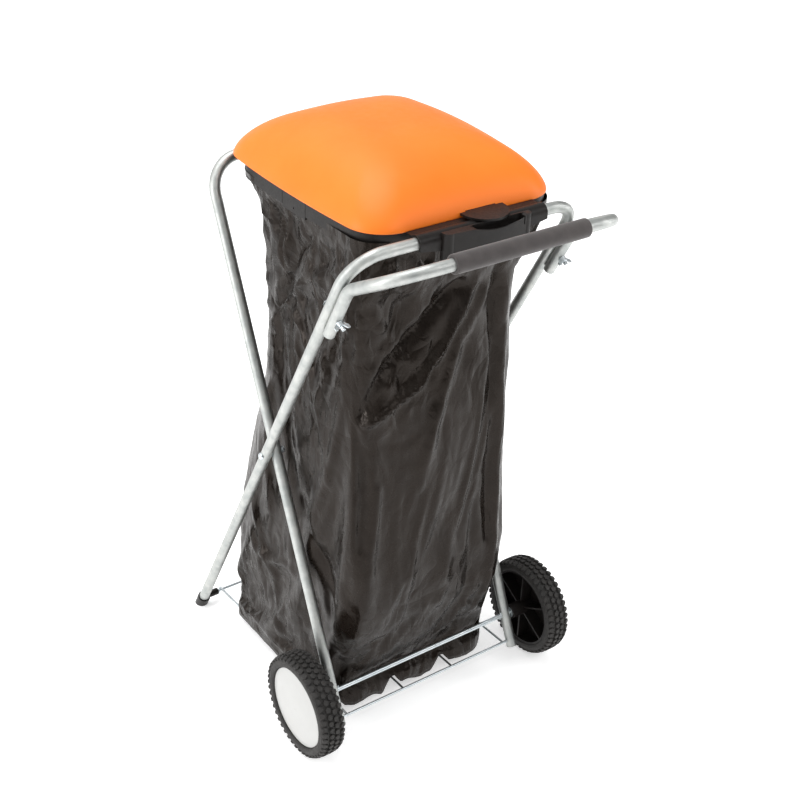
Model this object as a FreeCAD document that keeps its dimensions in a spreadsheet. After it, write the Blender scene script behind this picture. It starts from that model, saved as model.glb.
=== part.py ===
import FreeCAD, Part
import math
import os

import Sketcher
from FreeCAD import Placement, Rotation, Vector

# Folding trolley that holds a bin bag open under a hinged lid.
# +Z is up, the handle and wheels face -Y and the feet face +Y.
# Heights start at the floor and lengths along Y start at the axle, then the whole part is moved by
# axle_shift so that the origin lies under the middle of its box.

doc = FreeCAD.newDocument("BagTrolley")

# Driving dimensions, in millimetres and degrees

SIZES = (
    ("tube_d", 18.0, "outer diameter of every frame tube"),
    ("tube_wall", 1.2, "wall of the frame tubes"),
    ("tube_bend", 55.0, "centre line radius of the frame corners"),
    ("wheel_half", 184.5, "middle of the part to a leg of the wheel frame"),
    ("leg_gap", 1.0, "gap between the legs of the two frames at the crossing"),
    ("pivot_back", 173.0, "axle to the crossing pivot, along Y"),
    ("pivot_up", 471.2, "height of the crossing pivot"),
    ("foot_back", 426.7, "axle to the point where a foot leg meets the floor"),
    ("foot_reach", 492.7, "pivot to the front crossbar, along the leg"),
    ("wheel_reach", 473.3, "pivot to the rear crossbar, along the leg"),
    ("leg_tail", 61.0, "length of a wheel leg past the axle"),
    ("pivot_bolt_d", 6.0, "crossing bolt"),
    ("bolt_head_d", 12.0, "domed head of the crossing bolt"),
    ("bolt_head_t", 3.2, "height of that head"),
    ("washer_t", 0.8, "washer between the legs"),
    ("nut_d", 11.0, "cap nut across"),
    ("nut_t", 6.0, "cap nut height"),
    ("run_fit", 0.08, "radial clearance of everything that turns"),
    ("seat_gap", 0.2, "gap between pieces that only rest on each other"),
    ("cap_d", 23.0, "foot cap outside"),
    ("cap_depth", 26.0, "foot cap height along the leg"),
    ("cap_sole", 3.0, "floor of the foot cap"),
    ("lug_d", 13.0, "inward lug of a foot cap"),
    ("lug_reach", 29.0, "leg centre to the end of the lug"),
    ("rod_d", 5.0, "rear rod"),
    ("rod_up", 22.5, "height of the rear rod"),
    ("rod_seat", 17.0, "depth of the rod in each lug"),
    ("wire_d", 5.0, "front wire of the tray"),
    ("rung_d", 4.0, "long wires of the tray"),
    ("rung_outer", 168.0, "middle to an outer long wire"),
    ("rung_inner", 52.0, "middle to an inner long wire"),
    ("wire_drop", 49.0, "axle to the front wire, along the wheel leg"),
    ("hook_drop", 9.0, "hooked end of a long wire"),
    ("axle_d", 8.0, "axle"),
    ("pin_d", 2.5, "split pins through the axle"),
    ("pin_length", 15.0, "length of a split pin"),
    ("wheel_d", 180.0, "wheel over the tread"),
    ("wheel_outer", 259.5, "middle of the part to the outer face of a tyre"),
    ("tyre_width", 43.5, "tyre"),
    ("tread_depth", 4.0, "height of the tread blocks"),
    ("tread_count", 26.0, "blocks round one row"),
    ("tread_slot", 6.0, "slot between blocks, along the tread"),
    ("tread_groove", 2.4, "groove between rows"),
    ("bead_d", 141.0, "tyre seat on the rim"),
    ("rim_wall", 3.0, "drum, disc and ribs of the rim"),
    ("hub_d", 26.0, "hub outside"),
    ("web_set", 14.0, "outer face of the tyre to the disc of the rim"),
    ("rim_ribs", 6.0, "ribs between hub and drum"),
    ("hubcap_wall", 2.0, "hubcap"),
    ("hub_washer_d", 20.0, "washer between leg and hub"),
    ("hub_washer_t", 1.6, "thickness of that washer"),
    ("clip_d", 16.0, "push-on clip at the axle's end"),
    ("clip_t", 1.2, "thickness of that clip"),
    ("fork_drop", 41.0, "front crossbar to the fork of the handle, along the leg"),
    ("fork_bend", 40.0, "bend radius at the fork"),
    ("handle_overlap", 100.0, "length of the handle beside the leg, below the fork"),
    ("handle_bolt_drop", 62.0, "fork to the handle bolt"),
    ("handle_arm", 129.0, "fork to the hand bar"),
    ("handle_rise", 28.8, "slope of the handle's arms in degrees"),
    ("handle_bend", 70.0, "bend radius of the handle's corners"),
    ("grip_d", 28.0, "foam grip"),
    ("grip_length", 234.0, "length of the foam grip"),
    ("grip_round", 4.0, "rounded ends of the grip"),
    ("wing_span", 24.0, "wing nut across its wings"),
    ("wing_height", 11.0, "wing nut height"),
    ("ring_shift", 17.4, "the ring stands this far right of the frame's middle"),
    ("rim_up", 9.0, "front crossbar centre to the underside of the lid"),
    ("lid_half", 179.6, "half width of the lid at its middle"),
    ("lid_waist", 10.7, "each side of the lid curves in by this at its ends"),
    ("lid_front", 23.7, "front crossbar to the lid's front edge"),
    ("lid_over", 13.0, "lid past the rear crossbar"),
    ("lid_corner", 60.0, "corner radius of the lid"),
    ("lid_wall", 2.5, "wall of the lid"),
    ("dome_height", 88.6, "crown of the lid above its rim"),
    ("ring_inset", 3.0, "ring inside the lid's edge"),
    ("ring_wall", 2.5, "walls of the ring"),
    ("flange_t", 2.2, "top flange of the ring"),
    ("skirt_depth", 24.0, "depth of the ring's skirt"),
    ("skirt_back", 25.0, "rear of the skirt to the rear crossbar's centre"),
    ("mouth_inset", 22.0, "lid's edge to the mouth"),
    ("wing_half", 114.0, "half length of the sleeve round the front crossbar"),
    ("wing_drop", 14.0, "front crossbar's centre to the foot of the sleeve"),
    ("sleeve_wall", 3.5, "wall of that sleeve"),
    ("snap_width", 16.4, "slot under the sleeve where it snaps over the tube"),
    ("apron_half", 78.0, "half width of the front housing"),
    ("apron_front", 27.0, "front crossbar's centre to the face of the housing"),
    ("apron_drop", 28.0, "front crossbar's centre to the foot of the housing"),
    ("apron_round", 9.0, "corners of the housing"),
    ("tab_shift", 18.0, "thumb tab right of the ring's middle"),
    ("tab_half", 38.0, "half width of the thumb tab"),
    ("tab_reach", 43.0, "thumb tab in front of the lid"),
    ("tab_t", 3.5, "thumb tab thickness"),
    ("saddle_half", 18.0, "half width of a rear saddle"),
    ("saddle_apart", 90.0, "middle of the ring to a rear saddle"),
    ("saddle_t", 2.6, "wall of a rear saddle"),
    ("hinge_back", 7.5, "lid's rear edge to the hinge pins"),
    ("hinge_rise", 4.0, "hinge pins above the lid's underside"),
    ("hinge_pin_d", 4.0, "hinge pins"),
    ("hinge_eye_d", 9.0, "eyes round the hinge pins"),
    ("hinge_apart", 70.0, "middle of the lid to a hinge"),
    ("hinge_eye_w", 20.0, "eye of the lid"),
    ("hinge_ear_w", 8.0, "ear of the ring beside that eye"),
    ("hinge_side", 0.3, "side play in the hinge"),
    ("clamp_wall", 2.2, "wall of the clamp ring"),
    ("clamp_gap", 1.0, "room for the bag's film round the clamp ring"),
    ("tongue_half", 31.0, "half width of a clamp tongue"),
    ("tongue_drop", 4.5, "tongue below the skirt"),
    ("tongue_place", 217.0, "front crossbar to a tongue's middle"),
    ("tongue_hole", 3.0, "hole in a tongue"),
    ("bag_wall", 0.6, "stand-in for the film, which is 0.04 thick"),
    ("bag_waist_half", 158.0, "half width of the bag beside the pivots"),
    ("bag_base_half", 164.0, "half width of the bag at its base"),
    ("bag_base_front", 6.0, "axle to the front of the bag's base"),
    ("bag_base_back", 385.0, "axle to the back of the bag's base"),
    ("bag_corner", 55.0, "corners of the bag"),
)


def make_sheet(name, rows):
    sheet = doc.addObject("Spreadsheet::Sheet", name)
    for row, (alias, content, note) in enumerate(rows, start=1):
        sheet.set(f"A{row}", note)
        sheet.set(f"B{row}", str(content))
        sheet.setAlias(f"B{row}", alias)
    return sheet


sizes = make_sheet("Sizes", SIZES)

# Places that follow from the driving dimensions

PLACES = (
    ("foot_lean", "=atan((Sizes.foot_back - Sizes.pivot_back) / Sizes.pivot_up) / 1 deg",
     "lean of the foot legs from the vertical"),
    ("wheel_lean", "=atan(Sizes.pivot_back / (Sizes.pivot_up - Sizes.wheel_d / 2)) / 1 deg",
     "lean of the wheel legs from the vertical"),
    ("foot_half", "=Sizes.wheel_half + Sizes.tube_d + Sizes.leg_gap", "middle to a foot leg"),
    ("axle_leg", "=sqrt(Sizes.pivot_back ^ 2 + (Sizes.pivot_up - Sizes.wheel_d / 2) ^ 2)",
     "pivot to axle"),
    ("foot_leg", "=Sizes.pivot_up / cos(foot_lean)", "pivot to the floor along a foot leg"),
    ("bar_y", "=Sizes.pivot_back - Sizes.foot_reach * sin(foot_lean)", "front crossbar"),
    ("bar_z", "=Sizes.pivot_up + Sizes.foot_reach * cos(foot_lean)", "front crossbar"),
    ("rear_y", "=Sizes.pivot_back + Sizes.wheel_reach * sin(wheel_lean)", "rear crossbar"),
    ("rear_z", "=Sizes.pivot_up + Sizes.wheel_reach * cos(wheel_lean)", "rear crossbar"),
    ("stack", "=Sizes.tube_d + Sizes.seat_gap", "leg of the foot frame to the handle's leg"),
    ("fork_y", "=bar_y + Sizes.fork_drop * sin(foot_lean) - stack * cos(foot_lean)", "fork"),
    ("fork_z", "=bar_z - Sizes.fork_drop * cos(foot_lean) - stack * sin(foot_lean)", "fork"),
    ("hand_y", "=fork_y - Sizes.handle_arm * cos(Sizes.handle_rise)", "hand bar"),
    ("hand_z", "=fork_z + Sizes.handle_arm * sin(Sizes.handle_rise)", "hand bar"),
    ("bolt_y", "=bar_y + (Sizes.fork_drop + Sizes.handle_bolt_drop) * sin(foot_lean)",
     "handle bolt on the axis of the foot leg"),
    ("bolt_z", "=bar_z - (Sizes.fork_drop + Sizes.handle_bolt_drop) * cos(foot_lean)",
     "handle bolt on the axis of the foot leg"),
    ("rod_y", "=Sizes.foot_back - Sizes.rod_up * tan(foot_lean)", "rear rod"),
    ("wire_y", "=-Sizes.wire_drop * sin(wheel_lean)", "front wire of the tray"),
    ("wire_z", "=Sizes.wheel_d / 2 - Sizes.wire_drop * cos(wheel_lean)", "front wire of the tray"),
    ("rim_z", "=bar_z + Sizes.rim_up", "underside of the lid"),
    ("lid_y0", "=bar_y + Sizes.lid_front", "front edge of the lid"),
    ("lid_y1", "=rear_y + Sizes.lid_over", "rear edge of the lid"),
    ("pin_y", "=lid_y1 + Sizes.hinge_back", "hinge pins"),
    ("pin_z", "=rim_z + Sizes.hinge_rise", "hinge pins"),
    ("skirt_z", "=rim_z - Sizes.skirt_depth", "foot of the skirt"),
    ("foot_end", "=(Sizes.cap_sole + Sizes.tube_d / 2 * sin(foot_lean)) / cos(foot_lean)",
     "floor to the end of a foot leg, along the leg"),
    ("rung_over", "=Sizes.rod_d / 2 + Sizes.rung_d / 2 + Sizes.seat_gap + 0.1",
     "rear rod to a long wire that lies on it"),
    ("rung_far", "=sqrt((rod_y - wire_y) ^ 2 + (Sizes.rod_up - wire_z) ^ 2)", "front wire to rear rod"),
    ("rung_run", "=sqrt(rung_far ^ 2 - rung_over ^ 2)", "straight length of a long wire"),
    ("rung_tilt", "=(atan((Sizes.rod_up - wire_z) / (rod_y - wire_y)) + asin(rung_over / rung_far)) / 1 deg",
     "slope of the long wires"),
    ("sleeve_r", "=Sizes.tube_d / 2 + Sizes.seat_gap + 0.1 + Sizes.sleeve_wall", "sleeve outside"),
    ("hub_in", "=Sizes.wheel_half + Sizes.tube_d / 2 + 2 * Sizes.seat_gap + Sizes.hub_washer_t + 0.2",
     "middle to the inner end of a hub"),
    ("drum_r", "=Sizes.bead_d / 2 - Sizes.run_fit", "drum of the rim outside"),
    ("skirt_y1", "=rear_y - Sizes.skirt_back", "rear of the skirt"),
    ("tab_z", "=bar_z + sleeve_r + 0.6", "underside of the thumb tab"),
    ("axle_shift",
     "=-(Sizes.foot_back + Sizes.cap_d / 2 / cos(foot_lean) + hand_y - Sizes.grip_d / 2) / 2",
     "moves the axle so that the origin is under the middle"),
)
places = make_sheet("Places", PLACES)
doc.recompute()


def size(alias):
    return float(sizes.get(alias))


def place(alias):
    return float(places.get(alias))


# Small helpers that bind an object to the sheets

finished = []


def bind(obj, **expressions):
    for path, text in expressions.items():
        obj.setExpression(path.replace("__", "."), text)
    return obj


def seat(obj, x="0", y="0", z="0", turn=None):
    """Place an object by expressions, turn is (axis, angle expression)."""
    if turn:
        obj.Placement = Placement(Vector(), Rotation(turn[0], 1))
        obj.setExpression("Placement.Rotation.Angle", turn[1])
    for name, text in zip("xyz", (x, y, z)):
        obj.setExpression(f"Placement.Base.{name}", text)
    return obj


def finish(node, obj, moved=False):
    """Give a sub-part its name, and move it from the axle's frame to the part's own."""
    obj.Label = node
    if not moved:
        obj.setExpression("Placement.Base.y", "Places.axle_shift")
    finished.append((node, obj))
    return obj


X, Y, Z = Vector(1, 0, 0), Vector(0, 1, 0), Vector(0, 0, 1)
ALONG = {"X": (Y, "90"), "Y": (X, "-90"), "Z": (Z, "0")}


def cylinder(name, radius, length, x="0", y="0", z="0", along="Z", turn=None):
    """Cylinder that starts at a point and runs along an axis."""
    obj = doc.addObject("Part::Cylinder", name)
    bind(obj, Radius=radius, Height=length)
    return seat(obj, x, y, z, turn or ALONG[along])


def box(name, length, width, height, x="0", y="0", z="0", turn=None):
    obj = doc.addObject("Part::Box", name)
    bind(obj, Length=length, Width=width, Height=height)
    return seat(obj, x, y, z, turn)


def cut(name, base, tool):
    obj = doc.addObject("Part::Cut", name)
    obj.Base = base
    obj.Tool = tool
    obj.Refine = False
    return obj


def common(name, base, tool):
    obj = doc.addObject("Part::Common", name)
    obj.Base = base
    obj.Tool = tool
    return obj


def fuse(name, pieces):
    obj = doc.addObject("Part::MultiFuse", name)
    obj.Shapes = pieces
    obj.Refine = True
    return obj


def group(name, pieces):
    obj = doc.addObject("Part::Compound", name)
    obj.Links = pieces
    return obj


def origin_plane(body, role):
    return next(item for item in body.Origin.OriginFeatures if item.Role == role)


def new_sketch(body, name, role="XY_Plane"):
    sketch = body.newObject("Sketcher::SketchObject", name)
    sketch.AttachmentSupport = [(origin_plane(body, role), "")]
    sketch.MapMode = "FlatFace"
    return sketch


def number(text):
    """Value of an expression, used only to start a sketch near its solution."""
    return float(sizes.evalExpression(text))


def polygon(sketch, corners):
    """Closed outline whose every corner is bound by two distances from the sketch's origin."""
    points = [Vector(number(u), number(v), 0) for u, v in corners]
    count = len(points)
    for i in range(count):
        sketch.addGeometry(Part.LineSegment(points[i], points[(i + 1) % count]), False)
    for i in range(count):
        sketch.addConstraint(Sketcher.Constraint("Coincident", i, 2, (i + 1) % count, 1))
    for i, (u, v) in enumerate(corners):
        for kind, text, value in (("DistanceX", u, points[i].x), ("DistanceY", v, points[i].y)):
            index = sketch.addConstraint(Sketcher.Constraint(kind, -1, 1, i, 1, value))
            sketch.setExpression(f"Constraints[{index}]", text)
    return sketch


def turned(name, corners, role="XY_Plane"):
    """Body of revolution: corners are (along the axis, radius) about the sketch's own X axis."""
    body = doc.addObject("PartDesign::Body", name)
    sketch = polygon(new_sketch(body, name + "_profile", role), corners)
    turn = body.newObject("PartDesign::Revolution", name + "_turn")
    turn.Profile = sketch
    turn.ReferenceAxis = (sketch, ["H_Axis"])
    turn.Angle = 360
    body.Tip = turn
    return body


def tube_profile(body, name, role, outer="Sizes.tube_d / 2", inner="Sizes.tube_d / 2 - Sizes.tube_wall"):
    sketch = new_sketch(body, name, role)
    for i, text in enumerate((outer, inner)):
        sketch.addGeometry(Part.Circle(Vector(), Z, number(text)), False)
        sketch.addConstraint(Sketcher.Constraint("Coincident", i, 3, -1, 1))
        index = sketch.addConstraint(Sketcher.Constraint("Radius", i, number(text)))
        sketch.setExpression(f"Constraints[{index}]", text)
    return sketch


# Frames: two bent tubes, each an upside-down U, crossed like scissors

def bent_frame(name, half, up, down):
    """U of tube in the XY plane, its legs crossing the X axis at the pivot."""
    body = doc.addObject("PartDesign::Body", name)
    path = new_sketch(body, name + "_path")
    a, b, c, r = number(half), number(up), number(down), size("tube_bend")
    path.addGeometry(Part.LineSegment(Vector(-a, -c), Vector(-a, b - r)), False)
    corner = Part.Circle(Vector(r - a, b - r), Z, r)
    path.addGeometry(Part.ArcOfCircle(corner, math.pi / 2, math.pi), False)
    path.addGeometry(Part.LineSegment(Vector(r - a, b), Vector(a - r, b)), False)
    corner = Part.Circle(Vector(a - r, b - r), Z, r)
    path.addGeometry(Part.ArcOfCircle(corner, 0, math.pi / 2), False)
    path.addGeometry(Part.LineSegment(Vector(a, b - r), Vector(a, -c)), False)
    for first, end, second, start in ((0, 2, 1, 2), (1, 1, 2, 1), (2, 2, 3, 2), (3, 1, 4, 1)):
        path.addConstraint(Sketcher.Constraint("Tangent", first, end, second, start))
    path.addConstraint(Sketcher.Constraint("Vertical", 0))
    path.addConstraint(Sketcher.Constraint("Horizontal", 2))
    path.addConstraint(Sketcher.Constraint("Equal", 1, 3))
    path.addConstraint(Sketcher.Constraint("Symmetric", 0, 1, 4, 2, -2))
    bound = (
        (Sketcher.Constraint("Radius", 3, r), "Sizes.tube_bend"),
        (Sketcher.Constraint("DistanceX", -1, 1, 4, 2, a), half),
        (Sketcher.Constraint("DistanceY", 4, 2, -1, 1, c), down),
        (Sketcher.Constraint("DistanceY", -1, 1, 2, 1, b), up),
    )
    for constraint, text in bound:
        index = path.addConstraint(constraint)
        path.setExpression(f"Constraints[{index}]", text)
    profile = tube_profile(body, name + "_section", "XZ_Plane")
    profile.AttachmentOffset = Placement(Vector(-a, 0, c), Rotation())
    profile.setExpression("AttachmentOffset.Base.x", f"-({half})")
    profile.setExpression("AttachmentOffset.Base.z", down)
    doc.recompute()
    pipe = body.newObject("PartDesign::AdditivePipe", name + "_pipe")
    pipe.Profile = profile
    pipe.Spine = (path, [f"Edge{i}" for i in range(1, 6)])
    body.Tip = pipe
    return body


foot_u = bent_frame("FootU", "Places.foot_half", "Sizes.foot_reach", "Places.foot_leg - Places.foot_end")
seat(foot_u, y="Sizes.pivot_back", z="Sizes.pivot_up", turn=(X, "90 + Places.foot_lean"))
pivot_hole = cylinder("FootPivotHole", "Sizes.pivot_bolt_d / 2 + Sizes.run_fit", "2 * Places.foot_half + 40",
                      "-Places.foot_half - 20", "Sizes.pivot_back", "Sizes.pivot_up", "X")


def handle_bolt_hole(name, side):
    """Hole square to the foot leg, from behind the leg to in front of the handle's leg."""
    return cylinder(name, "Sizes.pivot_bolt_d / 2 + Sizes.run_fit", "3 * Sizes.tube_d",
                    f"{side} * Places.foot_half",
                    "Places.bolt_y + Sizes.tube_d * cos(Places.foot_lean)",
                    "Places.bolt_z + Sizes.tube_d * sin(Places.foot_lean)",
                    turn=(X, "90 + Places.foot_lean"))


holes = [pivot_hole] + [handle_bolt_hole(f"FootBoltHole{i}", side) for i, side in enumerate((-1, 1))]
finish("foot_frame_tube", cut("FootFrame", foot_u, group("FootHoles", holes)))

wheel_u = bent_frame("WheelU", "Sizes.wheel_half", "Sizes.wheel_reach", "Places.axle_leg + Sizes.leg_tail")
seat(wheel_u, y="Sizes.pivot_back", z="Sizes.pivot_up", turn=(X, "90 - Places.wheel_lean"))
HOLE_LENGTH, HOLE_START = "2 * Sizes.wheel_half + 40", "-Sizes.wheel_half - 20"
holes = [
    cylinder("WheelPivotHole", "Sizes.pivot_bolt_d / 2 + Sizes.run_fit", HOLE_LENGTH,
             HOLE_START, "Sizes.pivot_back", "Sizes.pivot_up", "X"),
    cylinder("AxleHole", "Sizes.axle_d / 2 + Sizes.run_fit", HOLE_LENGTH,
             HOLE_START, "0", "Sizes.wheel_d / 2", "X"),
    cylinder("WireHole", "Sizes.wire_d / 2 + Sizes.run_fit", HOLE_LENGTH,
             HOLE_START, "Places.wire_y", "Places.wire_z", "X"),
]
finish("wheel_frame_tube", cut("WheelFrame", wheel_u, group("WheelHoles", holes)))

# Handle: a smaller U bolted to the front of the foot legs, its arms bent up towards the user

def rounded_path(points, radii):
    """Straight runs joined by tangent arcs."""
    edges = []
    start = points[0]
    for i in range(1, len(points) - 1):
        corner = points[i]
        back = (points[i - 1] - corner).normalize()
        ahead = (points[i + 1] - corner).normalize()
        half_angle = back.getAngle(ahead) / 2
        along = radii[i - 1] / math.tan(half_angle)
        enter, leave = corner + back * along, corner + ahead * along
        inward = (back + ahead).normalize()
        middle = corner + inward * (radii[i - 1] / math.sin(half_angle) - radii[i - 1])
        edges.append(Part.LineSegment(start, enter).toShape())
        edges.append(Part.Arc(enter, middle, leave).toShape())
        start = leave
    edges.append(Part.LineSegment(start, points[-1]).toShape())
    return Part.Wire(edges)


def swept(wire, radius):
    start = wire.OrderedVertexes[0].Point
    direction = (wire.OrderedVertexes[1].Point - start).normalize()
    ring = Part.Wire([Part.makeCircle(radius, start, direction)])
    return wire.makePipeShell([ring], True, False)


def handle_shape():
    lean, half = math.radians(place("foot_lean")), place("foot_half")
    down = Vector(0, math.sin(lean), -math.cos(lean))
    fork = Vector(0, place("fork_y"), place("fork_z"))
    foot = fork + down * size("handle_overlap")
    hand = Vector(0, place("hand_y"), place("hand_z"))
    side = Vector(half, 0, 0)
    points = [foot - side, fork - side, hand - side, hand + side, fork + side, foot + side]
    wire = rounded_path(points, [size(bend) for bend in ("fork_bend", "handle_bend", "handle_bend", "fork_bend")])
    outer = swept(wire, size("tube_d") / 2)
    return outer.cut(swept(wire, size("tube_d") / 2 - size("tube_wall")))


handle_u = doc.addObject("Part::Feature", "HandleU")
handle_u.Shape = handle_shape()
holes = [handle_bolt_hole(f"HandleBoltHole{i}", side) for i, side in enumerate((-1, 1))]
finish("handle_tube", cut("Handle", handle_u, group("HandleHoles", holes)))

grip = turned("Grip", (
    ("-Sizes.grip_length / 2", "Sizes.tube_d / 2 + Sizes.run_fit"),
    ("Sizes.grip_length / 2", "Sizes.tube_d / 2 + Sizes.run_fit"),
    ("Sizes.grip_length / 2", "Sizes.grip_d / 2 - Sizes.grip_round"),
    ("Sizes.grip_length / 2 - Sizes.grip_round * 0.3", "Sizes.grip_d / 2 - Sizes.grip_round * 0.3"),
    ("Sizes.grip_length / 2 - Sizes.grip_round", "Sizes.grip_d / 2"),
    ("-Sizes.grip_length / 2 + Sizes.grip_round", "Sizes.grip_d / 2"),
    ("-Sizes.grip_length / 2 + Sizes.grip_round * 0.3", "Sizes.grip_d / 2 - Sizes.grip_round * 0.3"),
    ("-Sizes.grip_length / 2", "Sizes.grip_d / 2 - Sizes.grip_round"),
))
seat(grip, y="Places.hand_y + Places.axle_shift", z="Places.hand_z")
finish("foam_grip", grip, moved=True)

# Crossing bolts: domed head outside, washer between the legs, cap nut inside

for side, name in ((-1, "left"), (1, "right")):
    turn = (Z, "0") if side > 0 else (Z, "180")
    outside = "Places.foot_half + Sizes.tube_d / 2 + Sizes.seat_gap"
    inside = "Sizes.wheel_half - Sizes.tube_d / 2 - Sizes.seat_gap"
    bolt = turned(f"PivotBolt_{name}", (
        (f"{inside} - Sizes.nut_t + 2", "0"),
        (f"{outside} + Sizes.bolt_head_t", "0"),
        (f"{outside} + Sizes.bolt_head_t", "Sizes.bolt_head_d / 4"),
        (f"{outside} + Sizes.bolt_head_t * 0.6", "Sizes.bolt_head_d / 2 - 1"),
        (outside, "Sizes.bolt_head_d / 2"),
        (outside, "Sizes.pivot_bolt_d / 2"),
        (f"{inside} - Sizes.nut_t + 2", "Sizes.pivot_bolt_d / 2"),
    ))
    seat(bolt, y="Sizes.pivot_back + Places.axle_shift", z="Sizes.pivot_up", turn=turn)
    finish(f"pivot_bolt_{name}", bolt, moved=True)
    washer = turned(f"PivotWasher_{name}", (
        ("Sizes.wheel_half + Sizes.tube_d / 2 + (Sizes.leg_gap - Sizes.washer_t) / 2",
         "Sizes.pivot_bolt_d / 2 + Sizes.run_fit"),
        ("Sizes.wheel_half + Sizes.tube_d / 2 + (Sizes.leg_gap + Sizes.washer_t) / 2",
         "Sizes.pivot_bolt_d / 2 + Sizes.run_fit"),
        ("Sizes.wheel_half + Sizes.tube_d / 2 + (Sizes.leg_gap + Sizes.washer_t) / 2", "Sizes.bolt_head_d / 2"),
        ("Sizes.wheel_half + Sizes.tube_d / 2 + (Sizes.leg_gap - Sizes.washer_t) / 2", "Sizes.bolt_head_d / 2"),
    ))
    seat(washer, y="Sizes.pivot_back + Places.axle_shift", z="Sizes.pivot_up", turn=turn)
    finish(f"pivot_washer_{name}", washer, moved=True)
    nut = turned(f"PivotNut_{name}", (
        (f"{inside} - Sizes.nut_t", "0"),
        (f"{inside} - Sizes.nut_t + 2 - Sizes.seat_gap", "0"),
        (f"{inside} - Sizes.nut_t + 2 - Sizes.seat_gap", "Sizes.pivot_bolt_d / 2 + Sizes.run_fit"),
        (inside, "Sizes.pivot_bolt_d / 2 + Sizes.run_fit"),
        (inside, "Sizes.nut_d / 2"),
        (f"{inside} - Sizes.nut_t + 2", "Sizes.nut_d / 2"),
        (f"{inside} - Sizes.nut_t", "Sizes.nut_d / 4"),
    ))
    seat(nut, y="Sizes.pivot_back + Places.axle_shift", z="Sizes.pivot_up", turn=turn)
    finish(f"pivot_nut_{name}", nut, moved=True)

# Handle bolts: round head behind the foot leg, wing nut in front of the handle's leg

def plate(name, corners, thickness, role="XY_Plane"):
    """Flat polygon thickened to both sides of its plane."""
    body = doc.addObject("PartDesign::Body", name)
    sketch = polygon(new_sketch(body, name + "_outline", role), corners)
    pad = body.newObject("PartDesign::Pad", name + "_pad")
    pad.Profile = sketch
    pad.SideType = "Symmetric"
    bind(pad, Length=thickness)
    body.Tip = pad
    return body


WING_FACE = "-(Places.stack + Sizes.tube_d / 2 + Sizes.seat_gap)"
for side, name in ((-1, "left"), (1, "right")):
    behind = "Sizes.tube_d / 2 + Sizes.seat_gap"
    bolt = turned(f"HandleBolt_{name}", (
        (f"{WING_FACE} - Sizes.wing_height - 2", "0"),
        (f"{behind} + Sizes.bolt_head_t", "0"),
        (f"{behind} + Sizes.bolt_head_t", "Sizes.bolt_head_d / 4"),
        (behind, "Sizes.bolt_head_d / 2"),
        (behind, "Sizes.pivot_bolt_d / 2"),
        (f"{WING_FACE} - Sizes.wing_height - 2", "Sizes.pivot_bolt_d / 2"),
    ), role="YZ_Plane")
    hub = turned(f"WingHub_{name}", (
        (WING_FACE, "Sizes.pivot_bolt_d / 2 + Sizes.run_fit"),
        (WING_FACE, "Sizes.pivot_bolt_d / 2 + 3"),
        (f"{WING_FACE} - Sizes.wing_height * 0.6", "Sizes.pivot_bolt_d / 2 + 1.8"),
        (f"{WING_FACE} - Sizes.wing_height * 0.6", "Sizes.pivot_bolt_d / 2 + Sizes.run_fit"),
    ), role="YZ_Plane")
    wings = [plate(f"Wing_{name}_{i}", (
        (f"{out} * (Sizes.pivot_bolt_d / 2 + 0.6)", f"{WING_FACE} - 1"),
        (f"{out} * (Sizes.pivot_bolt_d / 2 + 3.4)", f"{WING_FACE} - 1"),
        (f"{out} * (Sizes.wing_span / 2)", f"{WING_FACE} - Sizes.wing_height * 0.55"),
        (f"{out} * (Sizes.wing_span / 2)", f"{WING_FACE} - Sizes.wing_height"),
        (f"{out} * (Sizes.wing_span / 2 - 4)", f"{WING_FACE} - Sizes.wing_height"),
        (f"{out} * (Sizes.pivot_bolt_d / 2 + 0.6)", f"{WING_FACE} - Sizes.wing_height * 0.5"),
    ), "1.8") for i, out in enumerate((-1, 1))]
    nut = fuse(f"WingNut_{name}", [hub, *wings])
    for node, obj in ((f"handle_bolt_{name}", bolt), (f"wing_nut_{name}", nut)):
        seat(obj, f"{side} * Places.foot_half", "Places.bolt_y + Places.axle_shift", "Places.bolt_z",
             (X, "Places.foot_lean"))
        finish(node, obj, moved=True)

# Foot caps with an inward lug, and the rear rod that joins them

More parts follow.
